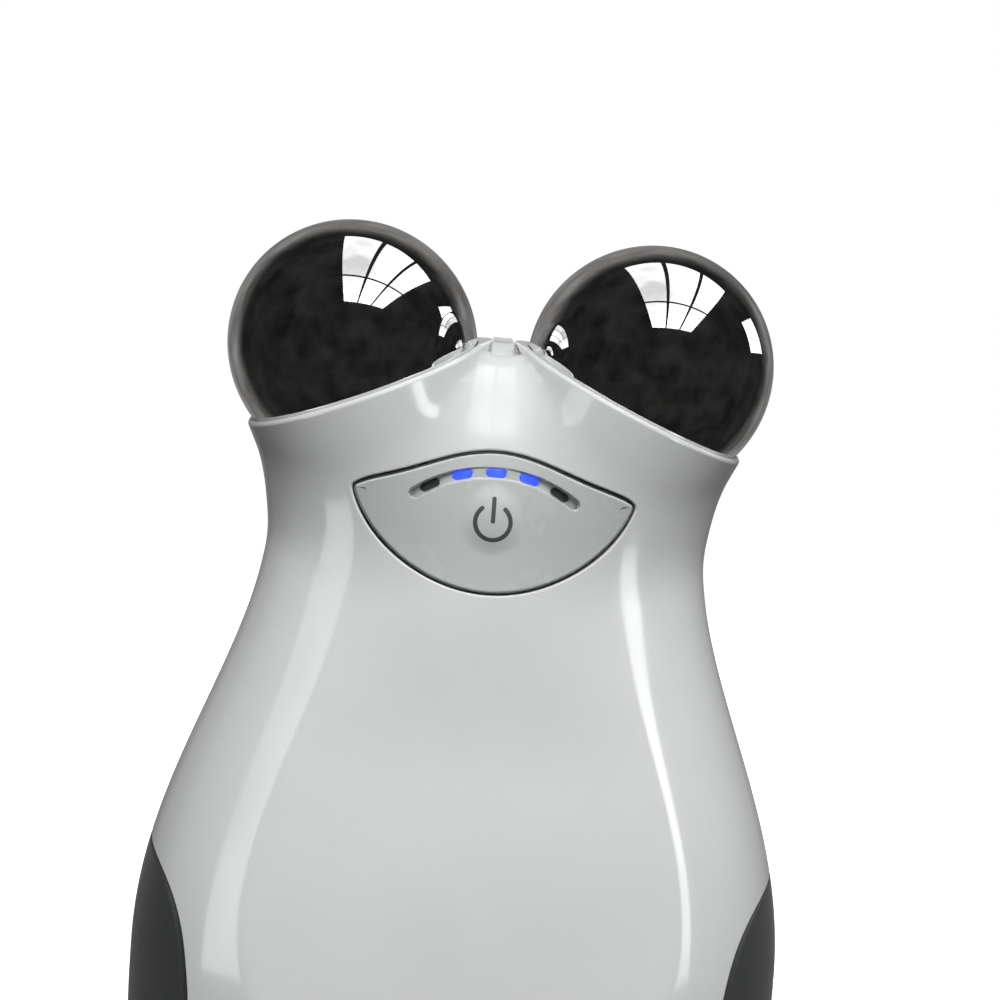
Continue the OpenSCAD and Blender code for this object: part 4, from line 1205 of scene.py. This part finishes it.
@dataclass(frozen=True)
class Housing:
    """The two glossy shells with their openings, and the screw posts inside."""

    form: HousingForm
    key: KeyFace
    seat_roll: float = 0.45
    opening_roll: float = 0.2
    grip_roll: float = 0.22
    inlet_z: float = 17.0
    inlet_r: float = 4.7
    inlet_nose_r: float = 3.65
    inlet_floor_y: float = 17.9
    screw_x: float = 25.5
    screw_z: tuple[float, float] = (19.0, 35.0)
    screw_bore_r: float = 2.05
    post_r: float = 2.7
    socket_r: float = 12.82
    seat_drop: float = 3.4

    def seat_cut(self, place: BallSeat) -> Cut:
        """Edge of a collar: the plane square to the ball's axis, a ring in to the socket."""
        a = place.axis

        def gap(p: Array) -> tuple[Array, Array]:
            return -self.seat_drop - place.split(p)[0], np.broadcast_to(a, p.shape)

        def inward(p: Array, n: Array, e: Array) -> list[Array]:
            out = unit(place.split(e)[1])
            mouth = np.sqrt(self.socket_r ** 2 - self.seat_drop ** 2)
            flat = place.centre - self.seat_drop * a + mouth * out
            h = np.minimum(place.split(p)[0], -self.seat_drop - 0.1)[:, None]
            socket = place.centre + h * a + np.sqrt(self.socket_r ** 2 - h ** 2) * out
            return [flat + 0.02 * out, flat, socket]

        return Cut(f"seat_{place.side.name.lower()}", gap, self.seat_roll, inward)

    def key_cut(self) -> Cut:
        """Edge of the key's opening: its outline, grown by the groove."""
        edge = self.key.outline(240, self.key.gap)

        def gap(p: Array) -> tuple[Array, Array]:
            d, w = np.full(len(p), 9.0), np.zeros_like(p)
            w[:, 2] = 1
            near = (np.abs(p[:, 0]) < 17) & (p[:, 2] > 76) & (p[:, 2] < 99)
            d[near], slope = edge.measure(p[near][:, ::2])
            w[near, 0], w[near, 2] = -slope[:, 0], -slope[:, 1]
            return d, w

        def inward(p: Array, n: Array, e: Array) -> list[Array]:
            return [e + np.array([0.0, self.form.wall - self.opening_roll, 0.0])]

        return Cut("key", gap, self.opening_roll, inward)

    def grip_cut(self, grip: GripPad) -> Cut:
        """Edge of a grip's pocket: the leaf's outline, grown by the fit."""
        edge = grip.leaf(300, grip.fit)
        s = float(grip.side.value)

        def gap(p: Array) -> tuple[Array, Array]:
            d, w = np.full(len(p), 9.0), np.zeros_like(p)
            w[:, 2] = 1
            near = (p[:, 0] * s > 8) & (p[:, 2] < 54)
            d[near], slope = edge.measure(p[near][:, 1:])
            w[near, 1:] = -slope
            return d, w

        def inward(p: Array, n: Array, e: Array) -> list[Array]:
            return [e - n * (self.form.wall - self.grip_roll)]

        return Cut(f"grip_{grip.side.name.lower()}", gap, self.grip_roll, inward)

    def round_cut(self, name: str, x: float, z: float, r: float, roll: float,
                  floor: tuple[float, float] | None) -> Cut:
        """Edge of a round opening in the back, with an optional ledge inside it.

        Args:
            name: Name of the edge.
            x: Place of the opening's axis.
            z: Height of the opening's axis.
            r: Radius of the opening.
            roll: Radius of the rounded edge.
            floor: Inner radius and Y of the ledge, or None for a plain hole.
        """
        def gap(p: Array) -> tuple[Array, Array]:
            d = np.stack([p[:, 0] - x, p[:, 2] - z], -1)
            length = np.linalg.norm(d, axis=-1)
            w = np.zeros_like(p)
            w[:, ::2] = -unit(d)
            return np.where(p[:, 1] > 0, length - r, 9.0), w

        def inward(p: Array, n: Array, e: Array) -> list[Array]:
            if floor is None:
                return [e - np.array([0.0, self.form.wall - roll, 0.0])]
            out = unit((e - [x, 0, z]) * [1, 0, 1])
            axis = np.array([x, 0.0, z])
            corner = axis + out * r + [0, floor[1], 0]
            return [corner, axis + out * floor[0] + [0, floor[1], 0],
                    axis + out * floor[0] + [0, floor[1] - 1.2, 0]]

        return Cut(name, gap, roll, inward)

    def build(self, half: Half, grips: list[GripPad], white: bpy.types.Material) -> bpy.types.Object:
        """Trims one half of the form by its openings and closes it to a shell."""
        skin = ShellSkin(self.form, half)
        skin.lay()
        cuts = [self.seat_cut(place) for place in self.form.seats]
        cuts += [self.grip_cut(grip) for grip in grips]
        if half is Half.FRONT:
            cuts.append(self.key_cut())
        else:
            cuts.append(self.round_cut("inlet", 0.0, self.inlet_z, self.inlet_r, 0.35,
                                       (self.inlet_nose_r, self.inlet_floor_y)))
            cuts += [self.round_cut(f"screw_{side}_{z:.0f}", side * self.screw_x, z, self.screw_bore_r,
                                    0.25, None) for side in (-1, 1) for z in self.screw_z]
        for cut in cuts:
            skin.trim(cut)
        name = f"housing_{half.name.lower()}"
        piece = skin.close([*cuts, skin.seam_cut()], name)
        dress(piece, white)
        seat(piece, "housing", "white_shell", f"{half.name.lower()}_shell")
        return piece

    def posts(self, white: bpy.types.Material) -> None:
        """The screw posts of both shells: tubes round the screws' axes, cut by the inner wall."""
        for sx in (-1, 1):
            for z in self.screw_z:
                for half, reach, bore in ((Half.REAR, 8.0, 1.15), (Half.FRONT, 6.0, 0.85)):
                    name = f"post_{half.name.lower()}_{'left' if sx < 0 else 'right'}_{z:.0f}"
                    piece = ring_piece(name, self.post_rings(half, sx * self.screw_x, z, bore, reach),
                                       loop=True, start=End.OPEN, end=End.OPEN)
                    flat = np.zeros(len(piece.data.polygons), bool)
                    piece.data.polygons.foreach_set("use_smooth", flat)
                    dress(piece, white)
                    seat(piece, "housing", "white_shell")

    def post_rings(self, half: Half, x: float, z: float, bore: float, reach: float) -> Array:
        """Rings of one post: its outer wall ends just inside the shell at every angle.

        Args:
            half: Shell that the post belongs to.
            x: Place of the screw's axis.
            z: Height of the screw's axis.
            bore: Radius of the pilot or clearance bore.
            reach: Depth of the bore from the parting plane.
        """
        t = np.linspace(0, 2 * np.pi, 48, endpoint=False)
        side = float(half.value)
        head = self.screw_bore_r if half is Half.REAR else 0.05

        def ring(r: float, deep: float | None) -> Array:
            px, pz = x + r * np.cos(t), z + r * np.sin(t)
            start = np.stack([px, 0 * px, pz], -1)
            skin = np.abs(self.form.crossing(start, np.array([0.0, side, 0.0]), 40.0)[:, 1])
            floor = np.maximum(skin - self.form.wall - 0.2, 0.6)
            y = floor if deep is None else np.minimum(deep, floor)
            return np.stack([px, side * y, pz], -1)

        return np.stack([ring(bore, 0.05), ring(self.post_r, 0.05), ring(self.post_r, None), ring(head, None),
                         ring(head, reach), ring(bore, reach)])


# ---- studio ------------------------------------------------------------------------------
@dataclass(frozen=True)
class Studio:
    """Floor, light, surroundings and camera."""

    camera_at: tuple[float, float, float] = (-3.29, -109.49, 91.56)
    yaw_deg: float = -2.3
    pitch_deg: float = -1.21
    roll_deg: float = 4.42
    lens: float = 36.1
    roof_at: tuple[float, float, float] = (0.03, -0.43, 0.51)
    roof_size: tuple[float, float] = (0.40, 0.45)
    roof_power: float = 4.1
    fill_power: float = 0.02
    back_power: float = 1.9
    low_light: float = 0.03
    high_light: float = 0.12
    floor_glow: float = 0.93
    room_tone: tuple[float, float] = (0.018, 0.2)
    pane_light: float = 1.8
    pane_box: tuple[float, float, float, float] = (-120.0, 450.0, -800.0, 150.0)
    pane_count: tuple[int, int] = (3, 2)
    pane_bar: float = 22.0
    pane_z: float = 600.0
    left_card: tuple[float, float, float, float] = (-62.0, -41.0, -24.0, 12.0)
    right_card: tuple[float, float, float, float] = (43.0, 53.0, -20.0, 12.0)
    card_light: tuple[float, float] = (2.8, 4.8)

    def camera(self) -> None:
        """Sets the camera where the photograph was taken from."""
        yaw, pitch, roll = np.radians([self.yaw_deg, self.pitch_deg, self.roll_deg])
        look = np.array([-np.sin(yaw) * np.cos(pitch), np.cos(yaw) * np.cos(pitch), np.sin(pitch)])
        right = np.array([np.cos(yaw), np.sin(yaw), 0.0])
        up = np.cross(right, look)
        right, up = right * np.cos(roll) + up * np.sin(roll), -right * np.sin(roll) + up * np.cos(roll)
        data = bpy.data.cameras.new("camera")
        data.lens, data.sensor_width, data.sensor_fit = self.lens, 36.0, "HORIZONTAL"
        data.clip_start = 0.002
        camera = bpy.data.objects.new("camera", data)
        turn = Matrix((right, up, -look)).transposed().to_4x4()
        camera.matrix_world = Matrix.Translation(Vector(self.camera_at) * MM) @ turn
        bpy.context.scene.collection.objects.link(camera)
        bpy.context.scene.camera = camera

    def lamp(self, name: str, at: tuple[float, float, float], aim: tuple[float, float, float],
             size: tuple[float, float], power: float) -> None:
        """Adds a soft rectangular lamp that looks at a point, in metres."""
        data = bpy.data.lights.new(name, "AREA")
        data.shape, data.size, data.size_y, data.energy = "RECTANGLE", *size, power
        lamp = bpy.data.objects.new(name, data)
        lamp.location = at
        lamp.rotation_euler = (Vector(aim) - Vector(at)).to_track_quat("-Z", "Y").to_euler()
        lamp.visible_glossy = False
        bpy.context.scene.collection.objects.link(lamp)

    def lights(self) -> None:
        """A roof window above and in front as one soft lamp, a weak fill, and a lamp behind."""
        middle = (0.0, 0.0, 0.07)
        self.lamp("lamp_roof", self.roof_at, middle, self.roof_size, self.roof_power)
        self.lamp("lamp_fill", (-0.16, -0.75, 0.16), middle, (0.7, 0.5), self.fill_power)
        self.lamp("lamp_back", (0.05, 0.62, 0.36), middle, (0.5, 0.4), self.back_power)

    def surroundings(self) -> None:
        """White backdrop for the camera, mirror and glass; a sky-like gradient for soft light."""
        world = bpy.data.worlds.new("studio_world")
        bpy.context.scene.world = world
        world.use_nodes = True
        shade = Shading(world.node_tree)
        axes = shade.add("SeparateXYZ", Vector=shade.add("TexCoord").outputs["Generated"])
        level = shade.span(axes.outputs["Z"], -0.35, 0.75, self.low_light, self.high_light)
        path = shade.add("LightPath").outputs
        for ray in ("Is Camera Ray", "Is Glossy Ray", "Is Transmission Ray"):
            level = shade.math("MAXIMUM", level, path[ray])
        shade.fill(world.node_tree.nodes["Background"], {"Strength": level, "Color": (1, 1, 1, 1)})

    def stage_mesh(self, name: str, points: Array, faces: Array, mirrored: bool = True) -> bpy.types.Object:
        """Adds a mesh of the set; a mirrored one is seen in reflections only."""
        piece = put_mesh(name, points, faces)
        if mirrored:
            piece.visible_camera = piece.visible_diffuse = piece.visible_shadow = False
            piece.visible_transmission = False
        else:
            piece.visible_glossy = piece.visible_diffuse = False
        return piece

    def floor(self) -> None:
        """A wide pale floor that stays white for the camera and keeps the shadow."""
        t = np.linspace(-6000.0, 6000.0, 5)
        x, y = np.meshgrid(t, t)
        points = np.stack([x, y, 0 * x], -1).reshape(-1, 3)
        floor = self.stage_mesh("floor", points, grid_faces(5, 5), mirrored=False)
        material, shade, shader = new_material("floor_paper")
        seen = shade.add("LightPath").outputs["Is Camera Ray"]
        shade.fill(shader, {
            "Base Color": (0.8, 0.8, 0.8, 1), "Roughness": 0.9, "Emission Color": (1, 1, 1, 1),
            "Emission Strength": shade.math("MULTIPLY", seen, self.floor_glow)})
        dress(floor, material)

    def glow_material(self, name: str, low: float, high: float, start: float = -1.0, stop: float = 1.0,
                      tint: tuple[float, float, float] = (1.0, 1.0, 1.0),
                      clear: bool = False) -> bpy.types.Material:
        """An emitter whose strength rises along Y between two places, with slow patches on it.

        Args:
            name: Name of the material.
            low: Strength in front of start.
            high: Strength behind stop.
            start: Y at which the rise starts, in metres.
            stop: Y at which the rise ends, in metres.
            tint: Colour of the light.
            clear: Whether what lies behind the emitter shows through it.
        """
        material, shade, shader = new_material(name)
        shade.tree.nodes.remove(shader)
        place = shade.add("TexCoord").outputs["Object"]
        axes = shade.add("SeparateXYZ", Vector=place)
        rise = shade.span(axes.outputs["Y"], start, stop, low, high)
        patch = shade.span(shade.noise(place, 2.2, 3.0), 0.3, 0.7, 0.45, 1.55, "LINEAR")
        emit = shade.add("Emission", Color=(*tint, 1), Strength=shade.math("MULTIPLY", rise, patch))
        light = emit.outputs[0]
        if clear:
            both = shade.add("AddShader")
            shade.put(shade.add("BsdfTransparent").outputs[0], both.inputs[0])
            shade.put(light, both.inputs[1])
            light = both.outputs[0]
        shade.put(light, shade.tree.nodes["Material Output"].inputs["Surface"])
        return material

    def reflected_room(self) -> None:
        """A round dark room seen only in reflections, paler behind, with a barred roof window."""
        t = np.linspace(0, 2 * np.pi, 48, endpoint=False)
        a = np.linspace(-np.pi / 2, np.pi / 2, 40)
        r = 1400.0
        rings = np.stack([np.stack([r * np.cos(v) * np.cos(t), r * np.cos(v) * np.sin(t),
                                    np.full(len(t), 60 + r * np.sin(v))], -1) for v in a])
        faces = ring_faces(len(a), len(t), End.POLE, End.POLE)[:, [0, 2, 1]]
        room = self.stage_mesh("reflected_room", rings.reshape(-1, 3), faces)
        dress(room, self.glow_material("room_tone", *self.room_tone, 0.45, 0.95, (1.0, 0.97, 0.93)))
        panes = self.glow_material("pane_light", self.pane_light, self.pane_light)
        x0, x1, y0, y1 = self.pane_box
        nx, ny = self.pane_count
        for i in range(nx):
            for j in range(ny):
                gap = self.pane_bar / 2
                u = x0 + (x1 - x0) * np.array([i, i + 1]) / nx + [gap, -gap]
                v = y0 + (y1 - y0) * np.array([j, j + 1]) / ny + [gap, -gap]
                points = np.array([[u[0], v[0], self.pane_z], [u[0], v[1], self.pane_z],
                                   [u[1], v[1], self.pane_z], [u[1], v[0], self.pane_z]])
                pane = self.stage_mesh(f"roof_pane_{i}_{j}", points, np.array([[0, 1, 2], [0, 2, 3]]))
                dress(pane, panes)
        side = np.array([[750, 60, 300], [750, 330, 300], [750, 330, 560], [750, 60, 560.0]])
        card = self.stage_mesh("side_pane", side, np.array([[0, 1, 2], [0, 2, 3]]))
        dress(card, panes)

    def edge_cards(self, shells: list[bpy.types.Object]) -> None:
        """Two upright bright cards that only the shells reflect, for the lines along the dish."""
        linked = bpy.data.collections.new("shells_only")
        for shell in shells:
            linked.objects.link(shell)
        for name, span, light in zip(("card_left", "card_right"), (self.left_card, self.right_card),
                                     self.card_light):
            az, el = np.meshgrid(np.radians(np.linspace(*span[:2], 9)), np.radians(np.linspace(*span[2:], 9)))
            points = np.stack([700 * np.sin(az), -700 * np.cos(az), 70 + 700 * np.tan(el)], -1)
            card = self.stage_mesh(name, points.reshape(-1, 3), grid_faces(9, 9))
            card.light_linking.receiver_collection = linked
            dress(card, self.glow_material(f"{name}_light", light, light, clear=True))

    def build(self, shells: list[bpy.types.Object]) -> None:
        """Makes the whole studio."""
        self.camera()
        self.lights()
        self.surroundings()
        self.floor()
        self.reflected_room()
        self.edge_cards(shells)
        bpy.context.scene.view_settings.view_transform = "Standard"


def dress_nodes() -> None:
    """Gives every CAD node that stays in view its own procedural material."""
    made = {name: finish.build() for name, finish in NODE_FINISHES.items()}
    for name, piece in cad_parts.items():
        key = SAME_FINISH.get(name, name)
        if key in made:
            dress(piece, made[key])
            LOG.info("node %s wears %s", name, made[key].name)


def main() -> None:
    """Builds the device from its sub-assemblies, then the studio round it."""
    logging.basicConfig(level=logging.INFO, format="%(name)s: %(message)s")
    form = HousingForm()
    face = KeyFace(form)
    white = GLOSS_WHITE.build()
    grips = [GripPad(form, side) for side in Side]
    housing = Housing(form, face)
    shells = [housing.build(half, grips, white) for half in Half]
    housing.posts(white)
    rubber = SOFT_GRIP.build()
    for grip in grips:
        grip.build(rubber, white)
    plate = BRIGHT_PLATE.build()
    for place in form.seats:
        Ball(place).build(plate)
    Key(face).build(*(finish.build() for finish in (KEY_WHITE, LIT_WINDOW, DARK_WINDOW, MARK_INK, LENS_BAR)))
    dress_nodes()
    Studio().build(shells)


if __name__ == "__main__":
    main()
